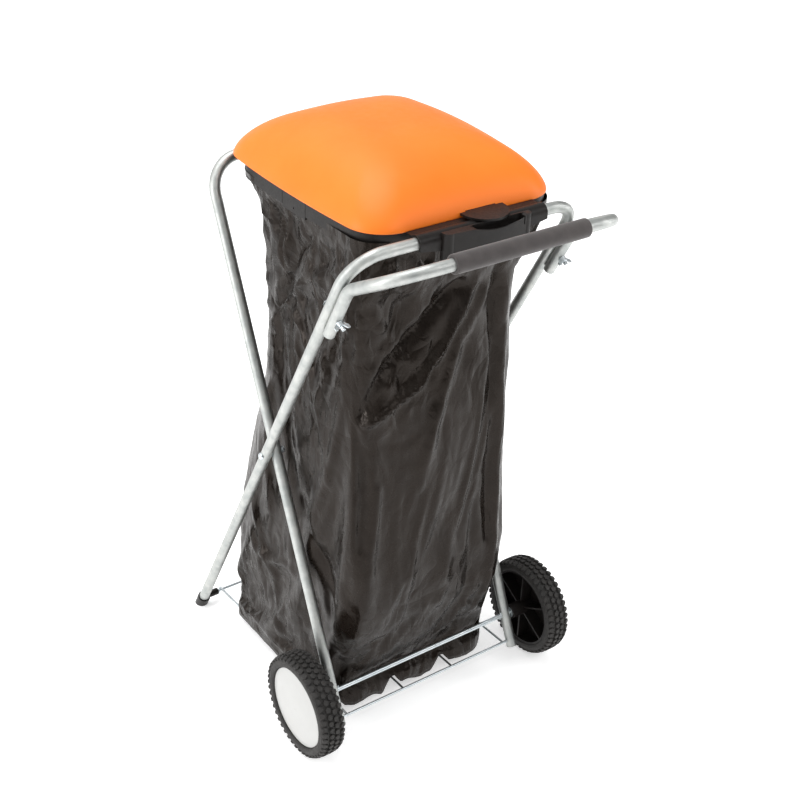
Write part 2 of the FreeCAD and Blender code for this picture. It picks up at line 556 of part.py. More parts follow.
for side, name in ((-1, "left"), (1, "right")):
    leg_x = f"{side} * Places.foot_half"
    cup = turned(f"FootCup_{name}", (
        ("-Sizes.cap_d / 2", "0"),
        ("-Sizes.cap_d / 2", "Sizes.cap_d / 2"),
        ("Sizes.cap_depth - 1", "Sizes.cap_d / 2"),
        ("Sizes.cap_depth", "Sizes.cap_d / 2 - 1"),
        ("Sizes.cap_depth", "0"),
    ), role="YZ_Plane")
    seat(cup, leg_x, "Sizes.foot_back", "0", (X, "90 + Places.foot_lean"))
    lug = turned(f"FootLug_{name}", (
        (f"{side} * (Places.foot_half - Sizes.lug_reach)", "0"),
        (f"{side} * (Places.foot_half - Sizes.lug_reach)", "Sizes.lug_d / 2 - 1.5"),
        (f"{side} * (Places.foot_half - Sizes.lug_reach + 1.5)", "Sizes.lug_d / 2"),
        (leg_x, "Sizes.lug_d / 2"),
        (leg_x, "0"),
    ))
    seat(lug, "0", "Places.rod_y", "Sizes.rod_up")
    tools = [
        cylinder(f"FootBore_{name}", "Sizes.tube_d / 2 + Sizes.run_fit", "2 * Sizes.cap_depth", leg_x,
                 "Sizes.foot_back - (Places.foot_end - Sizes.seat_gap) * sin(Places.foot_lean)",
                 "(Places.foot_end - Sizes.seat_gap) * cos(Places.foot_lean)", turn=(X, "Places.foot_lean")),
        cylinder(f"RodBore_{name}", "Sizes.rod_d / 2 + Sizes.run_fit", "Sizes.rod_seat + 2",
                 f"{side} * (Places.foot_half - Sizes.lug_reach + Sizes.rod_seat / 2 - 1)"
                 f" - (Sizes.rod_seat + 2) / 2", "Places.rod_y", "Sizes.rod_up", "X"),
        box(f"Floor_{name}", "60", "60", "20", f"{leg_x} - 30", "Sizes.foot_back - 30", "-20"),
    ]
    cap = cut(f"FootCap_{name}", fuse(f"FootBlank_{name}", [cup, lug]), group(f"FootTools_{name}", tools))
    finish(f"foot_cap_{name}", cap)

rod_half = "(Places.foot_half - Sizes.lug_reach + Sizes.rod_seat - Sizes.seat_gap)"
rod = cylinder("Rod", "Sizes.rod_d / 2", f"2 * {rod_half}", f"-{rod_half}",
               "Places.rod_y + Places.axle_shift", "Sizes.rod_up", "X")
finish("foot_rod", rod, moved=True)

# Tray: a front wire through the wheel legs and four long wires that hook over the rear rod

def rung(name):
    """Wire that runs back from the front wire and bends down round the rear rod."""
    body = doc.addObject("PartDesign::Body", name)
    path = new_sketch(body, name + "_path", "YZ_Plane")
    run, over, drop = place("rung_run"), place("rung_over"), size("hook_drop")
    path.addGeometry(Part.LineSegment(Vector(0, 0), Vector(run, 0)), False)
    path.addGeometry(Part.ArcOfCircle(Part.Circle(Vector(run, -over), Z, over), 0, math.pi / 2), False)
    path.addGeometry(Part.LineSegment(Vector(run + over, -over), Vector(run + over, -over - drop)), False)
    path.addConstraint(Sketcher.Constraint("Coincident", 0, 1, -1, 1))
    path.addConstraint(Sketcher.Constraint("Horizontal", 0))
    path.addConstraint(Sketcher.Constraint("Tangent", 0, 2, 1, 2))
    path.addConstraint(Sketcher.Constraint("Tangent", 1, 1, 2, 1))
    path.addConstraint(Sketcher.Constraint("Vertical", 2))
    bound = (
        (Sketcher.Constraint("DistanceX", 0, 1, 0, 2, run), "Places.rung_run"),
        (Sketcher.Constraint("Radius", 1, over), "Places.rung_over"),
        (Sketcher.Constraint("DistanceY", 2, 2, 2, 1, drop), "Sizes.hook_drop"),
    )
    for constraint, text in bound:
        index = path.addConstraint(constraint)
        path.setExpression(f"Constraints[{index}]", text)
    profile = new_sketch(body, name + "_section", "XZ_Plane")
    profile.addGeometry(Part.Circle(Vector(), Z, size("rung_d") / 2), False)
    profile.addConstraint(Sketcher.Constraint("Coincident", 0, 3, -1, 1))
    index = profile.addConstraint(Sketcher.Constraint("Radius", 0, size("rung_d") / 2))
    profile.setExpression(f"Constraints[{index}]", "Sizes.rung_d / 2")
    doc.recompute()
    pipe = body.newObject("PartDesign::AdditivePipe", name + "_pipe")
    pipe.Profile = profile
    pipe.Spine = (path, ["Edge1", "Edge2", "Edge3"])
    body.Tip = pipe
    return body


wire_half = "(Sizes.wheel_half + Sizes.tube_d / 2 - 0.5)"
wires = [cylinder("FrontWire", "Sizes.wire_d / 2", f"2 * {wire_half}", f"-{wire_half}",
                  "Places.wire_y", "Places.wire_z", "X")]
for i, across in enumerate(("-Sizes.rung_outer", "-Sizes.rung_inner", "Sizes.rung_inner", "Sizes.rung_outer")):
    wires.append(seat(rung(f"Rung{i}"), across, "Places.wire_y", "Places.wire_z", (X, "Places.rung_tilt")))
finish("bag_tray", fuse("Tray", wires))

# Axle with its split pins, washers and push-on clips

AXLE_HALF = "(Sizes.wheel_outer - 7)"
PIN_X = "(Sizes.wheel_half - Sizes.tube_d / 2 - Sizes.pin_d / 2 - Sizes.seat_gap)"
axle_rod = cylinder("AxleRod", "Sizes.axle_d / 2", f"2 * {AXLE_HALF}", f"-{AXLE_HALF}", "0",
                    "Sizes.wheel_d / 2", "X")
holes = [cylinder(f"PinHole{i}", "Sizes.pin_d / 2 + Sizes.run_fit", "2 * Sizes.axle_d",
                  f"{side} * {PIN_X}", "0", "Sizes.wheel_d / 2 - Sizes.axle_d") for i, side in enumerate((-1, 1))]
finish("axle", cut("Axle", axle_rod, group("PinHoles", holes)))

# Wheels: rim with its web and ribs, solid tyre with cut tread, blank hubcap

OUT = "Sizes.wheel_outer"
IN = "(Sizes.wheel_outer - Sizes.tyre_width)"
TREAD = "((Sizes.tyre_width - 10) / 4)"
TREAD_R = "(Sizes.wheel_d / 2)"


def ring_of_boxes(body, kind, name, length, width, height, base, count, half_step=False):
    """Box repeated round the sketch's X axis."""
    item = body.newObject(f"PartDesign::{kind}Box", name)
    bind(item, Length=length, Width=width, Height=height)
    x, r = base
    if half_step:
        item.Placement = Placement(Vector(), Rotation(X, 1))
        item.setExpression("Placement.Rotation.Angle", f"180 / {count}")
        item.setExpression("Placement.Base.y", f"-({width}) / 2 * cos(180 / {count}) - ({r}) * sin(180 / {count})")
        item.setExpression("Placement.Base.z", f"-({width}) / 2 * sin(180 / {count}) + ({r}) * cos(180 / {count})")
    else:
        item.setExpression("Placement.Base.y", f"-({width}) / 2")
        item.setExpression("Placement.Base.z", r)
    item.setExpression("Placement.Base.x", x)
    pattern = body.newObject("PartDesign::PolarPattern", name + "_round")
    pattern.Originals = [item]
    pattern.Axis = (origin_plane(body, "X_Axis"), [""])
    pattern.Angle = 360
    bind(pattern, Occurrences=count)
    body.Tip = pattern
    return pattern


def tread_corners():
    """Outline of the tyre's section, with a groove between each two rows of blocks."""
    corners = [
        (f"{IN} + 3", "Sizes.bead_d / 2"), (f"{OUT} - 3", "Sizes.bead_d / 2"),
        (f"{OUT} - 0.6", "Sizes.bead_d / 2 + 2"), (OUT, "Sizes.bead_d / 2 + 7"),
        (f"{OUT} - 1", f"{TREAD_R} - 7"), (f"{OUT} - 5", f"{TREAD_R} - 1"),
    ]
    for k in (1, 2, 3):
        middle = f"{OUT} - 5 - {TREAD} * {k}"
        corners += [
            (f"{middle} + Sizes.tread_groove / 2", TREAD_R),
            (f"{middle} + Sizes.tread_groove / 2", f"{TREAD_R} - Sizes.tread_depth"),
            (f"{middle} - Sizes.tread_groove / 2", f"{TREAD_R} - Sizes.tread_depth"),
            (f"{middle} - Sizes.tread_groove / 2", TREAD_R),
        ]
    return corners + [
        (f"{IN} + 5", f"{TREAD_R} - 1"), (f"{IN} + 1", f"{TREAD_R} - 7"),
        (IN, "Sizes.bead_d / 2 + 7"), (f"{IN} + 0.6", "Sizes.bead_d / 2 + 2"),
    ]


for side, name in ((-1, "left"), (1, "right")):
    turn = (Z, "0") if side > 0 else (Z, "180")
    hub = ("0", "Places.axle_shift", "Sizes.wheel_d / 2", turn)

    washer_in = "Sizes.wheel_half + Sizes.tube_d / 2 + Sizes.seat_gap"
    washer = turned(f"HubWasher_{name}", (
        (washer_in, "Sizes.axle_d / 2 + Sizes.run_fit"),
        (f"{washer_in} + Sizes.hub_washer_t", "Sizes.axle_d / 2 + Sizes.run_fit"),
        (f"{washer_in} + Sizes.hub_washer_t", "Sizes.hub_washer_d / 2"),
        (washer_in, "Sizes.hub_washer_d / 2"),
    ))
    finish(f"wheel_washer_{name}", seat(washer, *hub), moved=True)

    clip = turned(f"Clip_{name}", (
        (f"{OUT} - 9.8", "Sizes.axle_d / 2 + Sizes.run_fit"),
        (f"{OUT} - 9.8 + Sizes.clip_t", "Sizes.axle_d / 2 + Sizes.run_fit"),
        (f"{OUT} - 9.8 + Sizes.clip_t", "Sizes.clip_d / 2"),
        (f"{OUT} - 9.8", "Sizes.clip_d / 2"),
    ))
    finish(f"axle_clip_{name}", seat(clip, *hub), moved=True)

    pin = cylinder(f"Pin_{name}", "Sizes.pin_d / 2", "Sizes.pin_length", f"{side} * {PIN_X}",
                   "Places.axle_shift", "Sizes.wheel_d / 2 - Sizes.pin_length / 2")
    finish(f"axle_pin_{name}", pin, moved=True)

    drum_in = "(Places.drum_r - Sizes.rim_wall)"
    web_out = f"({OUT} - Sizes.web_set)"
    web_in = f"({OUT} - Sizes.web_set - Sizes.rim_wall)"
    rim = turned(f"Rim_{name}", (
        ("Places.hub_in", "Sizes.axle_d / 2 + Sizes.run_fit"),
        (f"{OUT} - 10", "Sizes.axle_d / 2 + Sizes.run_fit"),
        (f"{OUT} - 10", "Sizes.hub_d / 2"),
        (web_out, "Sizes.hub_d / 2"),
        (web_out, drum_in),
        (f"{OUT} - 6", drum_in),
        (f"{OUT} - 6", "Places.drum_r"),
        (f"{IN} + 3", "Places.drum_r"),
        (f"{IN} + 3", drum_in),
        (web_in, drum_in),
        (web_in, "Sizes.hub_d / 2"),
        ("Places.hub_in", "Sizes.hub_d / 2"),
    ))
    ring_of_boxes(rim, "Additive", f"RimRib_{name}", f"{web_in} + 0.5 - {IN} - 4", "Sizes.rim_wall",
                  f"{drum_in} + 0.5 - Sizes.hub_d / 2 + 0.5", (f"{IN} + 4", "Sizes.hub_d / 2 - 0.5"),
                  "Sizes.rim_ribs")
    finish(f"rim_{name}", seat(rim, *hub), moved=True)

    tyre = turned(f"Tyre_{name}", tread_corners())
    rows = ((f"{OUT} - 5 - {TREAD}", f"{TREAD} + 6", False), (f"{OUT} - 5 - {TREAD} * 2", TREAD, True),
            (f"{OUT} - 5 - {TREAD} * 3", TREAD, False), (f"{IN} - 1", f"{TREAD} + 6", True))
    for k, (start, length, half_step) in enumerate(rows):
        ring_of_boxes(tyre, "Subtractive", f"Slot_{name}_{k}", length, "Sizes.tread_slot",
                      "Sizes.tread_depth + 2", (start, f"{TREAD_R} - Sizes.tread_depth + 0.4"),
                      "Sizes.tread_count", half_step)
    finish(f"tyre_{name}", seat(tyre, *hub), moved=True)

    spigot = f"{drum_in} - Sizes.run_fit"
    hubcap = turned(f"Hubcap_{name}", (
        (f"{OUT} - 0.5", "0"),
        (f"{OUT} - 0.9", f"{drum_in} * 0.33"),
        (f"{OUT} - 1.9", f"{drum_in} * 0.66"),
        (f"{OUT} - 3.4", f"{drum_in} * 0.92"),
        (f"{OUT} - 4.4", "Places.drum_r - 1.3"),
        (f"{OUT} - 5.7", "Places.drum_r - 1.3"),
        (f"{OUT} - 5.7", spigot),
        (f"{OUT} - 10", spigot),
        (f"{OUT} - 10", f"{spigot} - 1.6"),
        (f"{OUT} - 3.4 - Sizes.hubcap_wall", f"{spigot} - 1.6"),
        (f"{OUT} - 1.9 - Sizes.hubcap_wall", f"{drum_in} * 0.66"),
        (f"{OUT} - 0.9 - Sizes.hubcap_wall", f"{drum_in} * 0.33"),
        (f"{OUT} - 0.5 - Sizes.hubcap_wall", "0"),
    ))
    finish(f"hubcap_{name}", seat(hubcap, *hub), moved=True)

# Lid and ring share one outline: straight ends, round corners and sides that bow outwards

LID_MID = (place("lid_y0") + place("lid_y1")) / 2
LID_LONG = (place("lid_y1") - place("lid_y0")) / 2
BOW = (LID_LONG ** 2 + size("lid_waist") ** 2) / (2 * size("lid_waist"))


def outline(name, half, front, back, corner, bow, tilt=None):
    """Closed wire in plan; tilt gives the height of each of its points."""
    middle = size("ring_shift")
    left, right = half if isinstance(half, tuple) else (middle - half, middle + half)
    centre, half = (left + right) / 2, (right - left) / 2
    ends = []
    for sign, edge in ((-1, front), (1, back)):
        cy = edge - sign * corner
        cx = half - bow + math.sqrt((bow - corner) ** 2 - (cy - LID_MID) ** 2)
        angle = math.atan2(cy - LID_MID, cx - half + bow)
        meet = (half - bow + bow * math.cos(angle), LID_MID + bow * math.sin(angle))
        halfway = (sign * math.pi / 2 + angle) / 2
        knee = (cx + corner * math.cos(halfway), cy + corner * math.sin(halfway))
        ends.append((cx, edge, knee, meet))
    (fx, fy, fknee, fmeet), (bx, by, bknee, bmeet) = ends

    def at(x, y):
        return Vector(centre + x, y, tilt(y) if tilt else 0)

    loop = [
        Part.LineSegment(at(-fx, fy), at(fx, fy)),
        Part.Arc(at(fx, fy), at(*fknee), at(*fmeet)),
        Part.Arc(at(*fmeet), at(half, LID_MID), at(*bmeet)),
        Part.Arc(at(*bmeet), at(*bknee), at(bx, by)),
        Part.LineSegment(at(bx, by), at(-bx, by)),
        Part.Arc(at(-bx, by), at(-bknee[0], bknee[1]), at(-bmeet[0], bmeet[1])),
        Part.Arc(at(-bmeet[0], bmeet[1]), at(-half, LID_MID), at(-fmeet[0], fmeet[1])),
        Part.Arc(at(-fmeet[0], fmeet[1]), at(-fknee[0], fknee[1]), at(-fx, fy)),
    ]
    wire = doc.addObject("Part::Feature", name)
    wire.Shape = Part.Wire([edge.toShape() for edge in loop])
    return wire


def rim_outline(name, inset, back=None):
    """Lid's outline moved inwards; back replaces the rear edge, for the skirt and what it holds."""
    rear = place("lid_y1") - inset if back is None else back
    return outline(name, size("lid_half") - inset, place("lid_y0") + inset, rear,
                   max(size("lid_corner") - inset, 5), BOW - inset)


def prism(name, wire, height, z):
    solid = doc.addObject("Part::Extrusion", name)
    solid.Base = wire
    solid.DirMode = "Custom"
    solid.Dir = Z
    solid.Solid = True
    bind(solid, LengthFwd=height)
    return seat(solid, z=z)


def loft(name, wires):
    solid = doc.addObject("Part::Loft", name)
    solid.Sections = wires
    solid.Solid = True
    solid.Ruled = True
    return solid


# Lid: steep shoulder and a low crown, given as levels of height, half width, half length and corner

LID_LEVELS = (
    (0.0, 1.0, 1.0, 1.0),
    (0.068, 0.9955, 0.996, 0.98),
    (0.135, 0.9827, 0.9845, 0.95),
    (0.226, 0.9566, 0.9615, 0.90),
    (0.339, 0.9148, 0.9237, 0.84),
    (0.451, 0.8658, 0.8777, 0.87),
    (0.564, 0.8090, 0.8227, 1.06),
    (0.677, 0.7389, 0.7523, 1.50),
    (0.790, 0.6303, 0.6303, 1.60),
    (0.880, 0.4889, 0.4886, 1.35),
    (0.948, 0.3346, 0.3345, 0.95),
    (0.988, 0.1743, 0.1742, 0.50),
    (1.0, 0.03, 0.03, 0.08),
)


def lid_sections(name, wall):
    """Wires of the dome, moved inwards by the wall along the dome's own slope."""
    wires = []
    levels = [(z * size("dome_height"), x * size("lid_half"), y * LID_LONG, r * size("lid_corner"))
              for z, x, y, r in LID_LEVELS]
    for i, (z, half, length, corner) in enumerate(levels):
        z0, half0 = levels[max(i - 1, 0)][:2]
        z1, half1 = levels[min(i + 1, len(levels) - 1)][:2]
        slope = 0 if i == 0 else math.pi / 2 if i == len(levels) - 1 else math.atan2(half0 - half1, z1 - z0)
        inset = wall * math.cos(slope)
        height = z - wall * math.sin(slope) - (1.0 if wall and i == 0 else 0)
        half, length = half - inset, length - inset
        corner = min(corner - inset, 0.96 * min(half, length)) if corner > inset + 1 else 0.9 * min(half, length)
        wire = outline(f"{name}{i}", half, LID_MID - length, LID_MID + length, corner, BOW - inset)
        wires.append(seat(wire, z=f"Places.rim_z + Sizes.seat_gap + {height:.3f}"))
    return wires


dome = loft("Dome", lid_sections("DomeLevel", 0))
hollow = loft("DomeHollow", lid_sections("HollowLevel", size("lid_wall")))
shell = cut("Shell", dome, hollow)
eyes = []
for i, side in enumerate((-1, 1)):
    across = f"Sizes.ring_shift + {side} * Sizes.hinge_apart - Sizes.hinge_eye_w / 2"
    eyes.append(cylinder(f"LidEye{i}", "Sizes.hinge_eye_d / 2", "Sizes.hinge_eye_w", across,
                         "Places.pin_y", "Places.pin_z", "X"))
    eyes.append(box(f"LidArm{i}", "Sizes.hinge_eye_w", "Sizes.hinge_back + 4", "Sizes.hinge_eye_d / 2", across,
                    "Places.lid_y1 - 4", "Places.pin_z"))
tools = [
    cylinder("LidPinHole", "Sizes.hinge_pin_d / 2 + Sizes.run_fit", "4 * Sizes.hinge_apart",
             "Sizes.ring_shift - 2 * Sizes.hinge_apart", "Places.pin_y", "Places.pin_z", "X"),
    box("TabSlot", "1.4 * Sizes.tab_half + 0.2", "12", "Sizes.tab_t + 0.2",
        "Sizes.ring_shift + Sizes.tab_shift - 0.7 * Sizes.tab_half - 0.1", "Places.lid_y0 - 3",
        "Places.tab_z - 0.1"),
]
finish("lid", cut("Lid", fuse("LidBlank", [shell, *eyes]), group("LidTools", tools)))

# Thumb tab: a flat half round clipped through the lid's front wall

def tab_outline():
    middle, half = size("ring_shift") + size("tab_shift"), size("tab_half")
    root, tip = place("lid_y0") - 0.6, place("lid_y0") - size("tab_reach")
    neck, inner = 0.7 * half, place("lid_y0") + 6
    points = [Vector(middle + half, root, 0), Vector(middle + neck, root, 0), Vector(middle + neck, inner, 0),
              Vector(middle - neck, inner, 0), Vector(middle - neck, root, 0), Vector(middle - half, root, 0)]
    edges = [Part.LineSegment(points[i], points[i + 1]).toShape() for i in range(5)]
    left, right = Vector(middle - half, root - 6, 0), Vector(middle + half, root - 6, 0)
    edges.append(Part.LineSegment(points[5], left).toShape())
    edges.append(Part.Arc(left, Vector(middle, tip, 0), right).toShape())
    edges.append(Part.LineSegment(right, points[0]).toShape())
    wire = doc.addObject("Part::Feature", "TabOutline")
    wire.Shape = Part.Wire(edges)
    return wire


tab = prism("Tab", tab_outline(), "Sizes.tab_t", "Places.tab_z")
finish("lid_grip_tab", tab)

# Ring that carries the bag: flange, skirt, front sleeve with its housing, rear saddles, hinge ears

RING_LOW = "Places.skirt_z"
flange = prism("Flange", rim_outline("FlangeOutline", size("ring_inset")), "Sizes.flange_t",
               "Places.rim_z - Sizes.flange_t")
skirt_back = place("skirt_y1")
inner_inset = size("ring_inset") + size("ring_wall")
skirt = cut("Skirt",
            prism("SkirtOuter", rim_outline("SkirtOutline", size("ring_inset"), skirt_back),
                  "Sizes.skirt_depth - 0.5", RING_LOW),
            prism("SkirtInner", rim_outline("SkirtInnerOutline", inner_inset, skirt_back - size("ring_wall")),
                  "Sizes.skirt_depth - Sizes.flange_t + 1", f"{RING_LOW} - 1"))
front = "Sizes.ring_shift - Sizes.wing_half"
bar = ("Places.bar_y", "Places.bar_z")
sleeve = cylinder("Sleeve", "Places.sleeve_r", "2 * Sizes.wing_half", front, *bar, "X")
legs = plate("SleeveLegs", (
    ("-Sizes.wing_half", "-Sizes.wing_drop + 6"),
    ("-Sizes.apron_half", "-Sizes.wing_drop"),
    ("Sizes.apron_half", "-Sizes.wing_drop"),
    ("Sizes.wing_half", "-Sizes.wing_drop + 6"),
    ("Sizes.wing_half", "0"),
    ("-Sizes.wing_half", "0"),
), "2 * Places.sleeve_r", role="XZ_Plane")
seat(legs, "Sizes.ring_shift", *bar)
bridge = box("Bridge", "2 * Sizes.wing_half", "Sizes.lid_front + Sizes.ring_inset + 6 - Sizes.tube_d / 2",
             "Sizes.flange_t", front, "Places.bar_y + Sizes.tube_d / 2", "Places.rim_z - Sizes.flange_t")


def apron_outline(name, inset):
    """Front housing in plan: a shallow curve with rounded corners."""
    middle, half = size("ring_shift"), size("apron_half") - inset
    y0 = place("bar_y") - size("apron_front") + inset
    y1 = place("bar_y") - size("tube_d") / 2 - 0.8 + inset / 4
    radius = size("apron_round") - inset / 2
    flat = half - radius - 4
    left = [Vector(middle - half, y1, 0), Vector(middle - half, y0 + 4 + radius, 0),
            Vector(middle - half + 0.29 * radius, y0 + 4 + 0.29 * radius, 0), Vector(middle - flat, y0 + 4, 0)]
    right = [Vector(2 * middle - p.x, p.y, 0) for p in left]
    edges = [Part.LineSegment(left[0], left[1]), Part.Arc(left[1], left[2], left[3]),
             Part.Arc(left[3], Vector(middle, y0, 0), right[3]), Part.Arc(right[3], right[2], right[1]),
             Part.LineSegment(right[1], right[0]), Part.LineSegment(right[0], left[0])]
    wire = doc.addObject("Part::Feature", name)
    wire.Shape = Part.Wire([edge.toShape() for edge in edges])
    return wire


housing = prism("Housing", apron_outline("HousingOutline", 0), "Sizes.apron_drop + Places.sleeve_r",
                "Places.bar_z - Sizes.apron_drop")
housing_hollow = prism("HousingHollow", apron_outline("HousingHollowOutline", 3),
                       "Sizes.apron_drop + Places.sleeve_r - 18", "Places.bar_z - Sizes.apron_drop - 1")
tab_x = "Sizes.ring_shift + Sizes.tab_shift"
pocket = box("Pocket", "2 * Sizes.tab_half + 12", "Sizes.apron_front - Places.sleeve_r - 3", "14",
             f"{tab_x} - Sizes.tab_half - 6", "Places.bar_y - Sizes.apron_front + 3.4",
             "Places.bar_z + Places.sleeve_r - 14")
dip = cylinder("PocketDip", "4 * Sizes.tab_half", "Sizes.apron_front - Places.sleeve_r + 2", tab_x,
               "Places.bar_y - Places.sleeve_r - 1", "Places.bar_z + Places.sleeve_r + 4 * Sizes.tab_half - 8",
               turn=(X, "90"))
housing = cut("HousingShell", cut("HousingPocket", housing, pocket), dip)
saddles, ears = [], []
for i, side in enumerate((-1, 1)):
    saddles.append(box(f"Saddle{i}", "2 * Sizes.saddle_half", "Sizes.saddle_t", "Sizes.tube_d / 2 + 3",
                       f"Sizes.ring_shift + {side} * Sizes.saddle_apart - Sizes.saddle_half",
                       "Places.lid_y1 - Sizes.ring_inset - Sizes.saddle_t + 2.2",
                       "Places.rim_z - Sizes.flange_t - Sizes.tube_d / 2 - 2"))
    for j, end in enumerate((-1, 1)):
        across = (f"Sizes.ring_shift + {side} * Sizes.hinge_apart"
                  f" + {end} * (Sizes.hinge_eye_w / 2 + Sizes.hinge_side + Sizes.hinge_ear_w / 2)"
                  f" - Sizes.hinge_ear_w / 2")
        ears.append(cylinder(f"Ear{i}{j}", "Sizes.hinge_eye_d / 2", "Sizes.hinge_ear_w", across,
                             "Places.pin_y", "Places.pin_z", "X"))
        ears.append(box(f"EarFoot{i}{j}", "Sizes.hinge_ear_w",
                        "Sizes.hinge_eye_d", "Places.pin_z - Places.rim_z + Sizes.flange_t", across,
                        "Places.pin_y - Sizes.hinge_eye_d / 2", "Places.rim_z - Sizes.flange_t"))
    ears.append(box(f"EarPlate{i}", "Sizes.hinge_eye_w + 2 * (Sizes.hinge_side + Sizes.hinge_ear_w)",
                    "Sizes.hinge_back + Sizes.ring_inset + 4", "Sizes.flange_t - 0.8",
                    f"Sizes.ring_shift + {side} * Sizes.hinge_apart"
                    f" - (Sizes.hinge_eye_w / 2 + Sizes.hinge_side + Sizes.hinge_ear_w)",
                    "Places.lid_y1 - Sizes.ring_inset - 4", "Places.rim_z - Sizes.flange_t"))
blank = fuse("RingBlank", [flange, skirt, sleeve, legs, bridge, housing, *saddles, *ears])
tongue_y = "Places.bar_y + Sizes.tongue_place"
tools = [
    housing_hollow,
    prism("Mouth", rim_outline("MouthOutline", size("mouth_inset"),
                               skirt_back - size("mouth_inset") + size("ring_inset")), "10", "Places.rim_z - 8"),
    cylinder("BarRoom", "Sizes.tube_d / 2 + Sizes.seat_gap + 0.1", "2 * Sizes.wing_half + 10",
             f"{front} - 5", *bar, "X"),
    box("SnapSlot", "2 * Sizes.wing_half + 10", "Sizes.snap_width", "Sizes.wing_drop + 2", f"{front} - 5",
        "Places.bar_y - Sizes.snap_width / 2", "Places.bar_z - Sizes.wing_drop - 2"),
    cylinder("EarHoles", "Sizes.hinge_pin_d / 2 + Sizes.run_fit", "4 * Sizes.hinge_apart",
             "Sizes.ring_shift - 2 * Sizes.hinge_apart", "Places.pin_y", "Places.pin_z", "X"),
    box("Notches", "2 * Sizes.lid_half + 20", "2 * Sizes.tongue_half + 2",
        "Sizes.skirt_depth - Sizes.flange_t + 1",
        "Sizes.ring_shift - Sizes.lid_half - 10", f"{tongue_y} - Sizes.tongue_half - 1", f"{RING_LOW} - 1"),
]
ring = blank
for i, tool in enumerate(tools):
    ring = cut(f"Ring{i}", ring, tool)
finish("bag_ring", ring)

# Clamp ring inside the skirt, with two tongues that show in the skirt's notches

clamp_inset = inner_inset + size("clamp_gap")
clamp_back = skirt_back - size("ring_wall") - size("clamp_gap")
clamp_height = "Sizes.skirt_depth - Sizes.flange_t - Sizes.seat_gap - 3"
clamp_wall = cut("ClampWall",
                 prism("ClampOuter", rim_outline("ClampOutline", clamp_inset, clamp_back), clamp_height,
                       f"{RING_LOW} + 3"),
                 prism("ClampInner", rim_outline("ClampInnerOutline", clamp_inset + size("clamp_wall"),
                                                 clamp_back - size("clamp_wall")), f"{clamp_height} + 2",
                       f"{RING_LOW} + 2"))
outer_face = prism("TongueOuter", rim_outline("TongueOutline", size("ring_inset"), skirt_back),
                   "Sizes.skirt_depth + Sizes.tongue_drop - Sizes.flange_t - Sizes.seat_gap",
                   f"{RING_LOW} - Sizes.tongue_drop")
inner_face = prism("TongueInner", rim_outline("TongueInnerOutline", size("ring_inset") + 2,
                                              skirt_back - size("ring_wall")),
                   "Sizes.skirt_depth + Sizes.tongue_drop - 9", f"{RING_LOW} - Sizes.tongue_drop - 1")
step_face = prism("StepInner",
                  rim_outline("StepInnerOutline", clamp_inset + 0.5, skirt_back - size("ring_wall")),
                  "Sizes.skirt_depth + Sizes.tongue_drop + 4", f"{RING_LOW} - Sizes.tongue_drop - 2")
tongue_band = cut("TongueBand", outer_face, group("TongueInside", [inner_face, step_face]))
slab = box("TongueSlab", "2 * Sizes.lid_half + 20", "2 * Sizes.tongue_half", "60",
           "Sizes.ring_shift - Sizes.lid_half - 10", f"{tongue_y} - Sizes.tongue_half", f"{RING_LOW} - 20")
tongue_blank = fuse("ClampBlank", [clamp_wall, common("Tongues", tongue_band, slab)])
tongue_hole = cylinder("TongueHole", "Sizes.tongue_hole / 2", "2 * Sizes.lid_half + 20",
                       "Sizes.ring_shift - Sizes.lid_half - 10", tongue_y, f"{RING_LOW} + 3", "X")
finish("bag_clamp_ring", cut("ClampRing", tongue_blank, tongue_hole))

# Hinge pins

for side, name in ((-1, "left"), (1, "right")):
    half = "(Sizes.hinge_eye_w / 2 + Sizes.hinge_side + Sizes.hinge_ear_w)"
    pin = cylinder(f"HingePin_{name}", "Sizes.hinge_pin_d / 2", f"2 * {half}",
                   f"Sizes.ring_shift + {side} * Sizes.hinge_apart - {half}",
                   "Places.pin_y + Places.axle_shift", "Places.pin_z", "X")
    finish(f"hinge_pin_{name}", pin, moved=True)

# Bag: thin hollow sack held between skirt and clamp ring, its base on the tray
# Each level is height from base to ring, right side, left side, front and back, all as shares

BAG_LEVELS = (
    (0.945, 0.70, 0.98, 0.05, 0.725),
    (0.885, 0.20, 0.50, 0.75, 0.671),
    (0.780, 0.10, 0.40, 0.80, 0.577),
    (0.650, 0.00, 0.10, 0.55, 0.608),
    (0.500, 0.00, 0.00, 0.30, 0.686),
    (0.310, 0.00, 0.00, 0.00, 0.868),
    (0.200, 0.00, 0.00, 0.25, 0.915),
    (0.110, 0.00, 0.00, 0.95, 0.953),
)


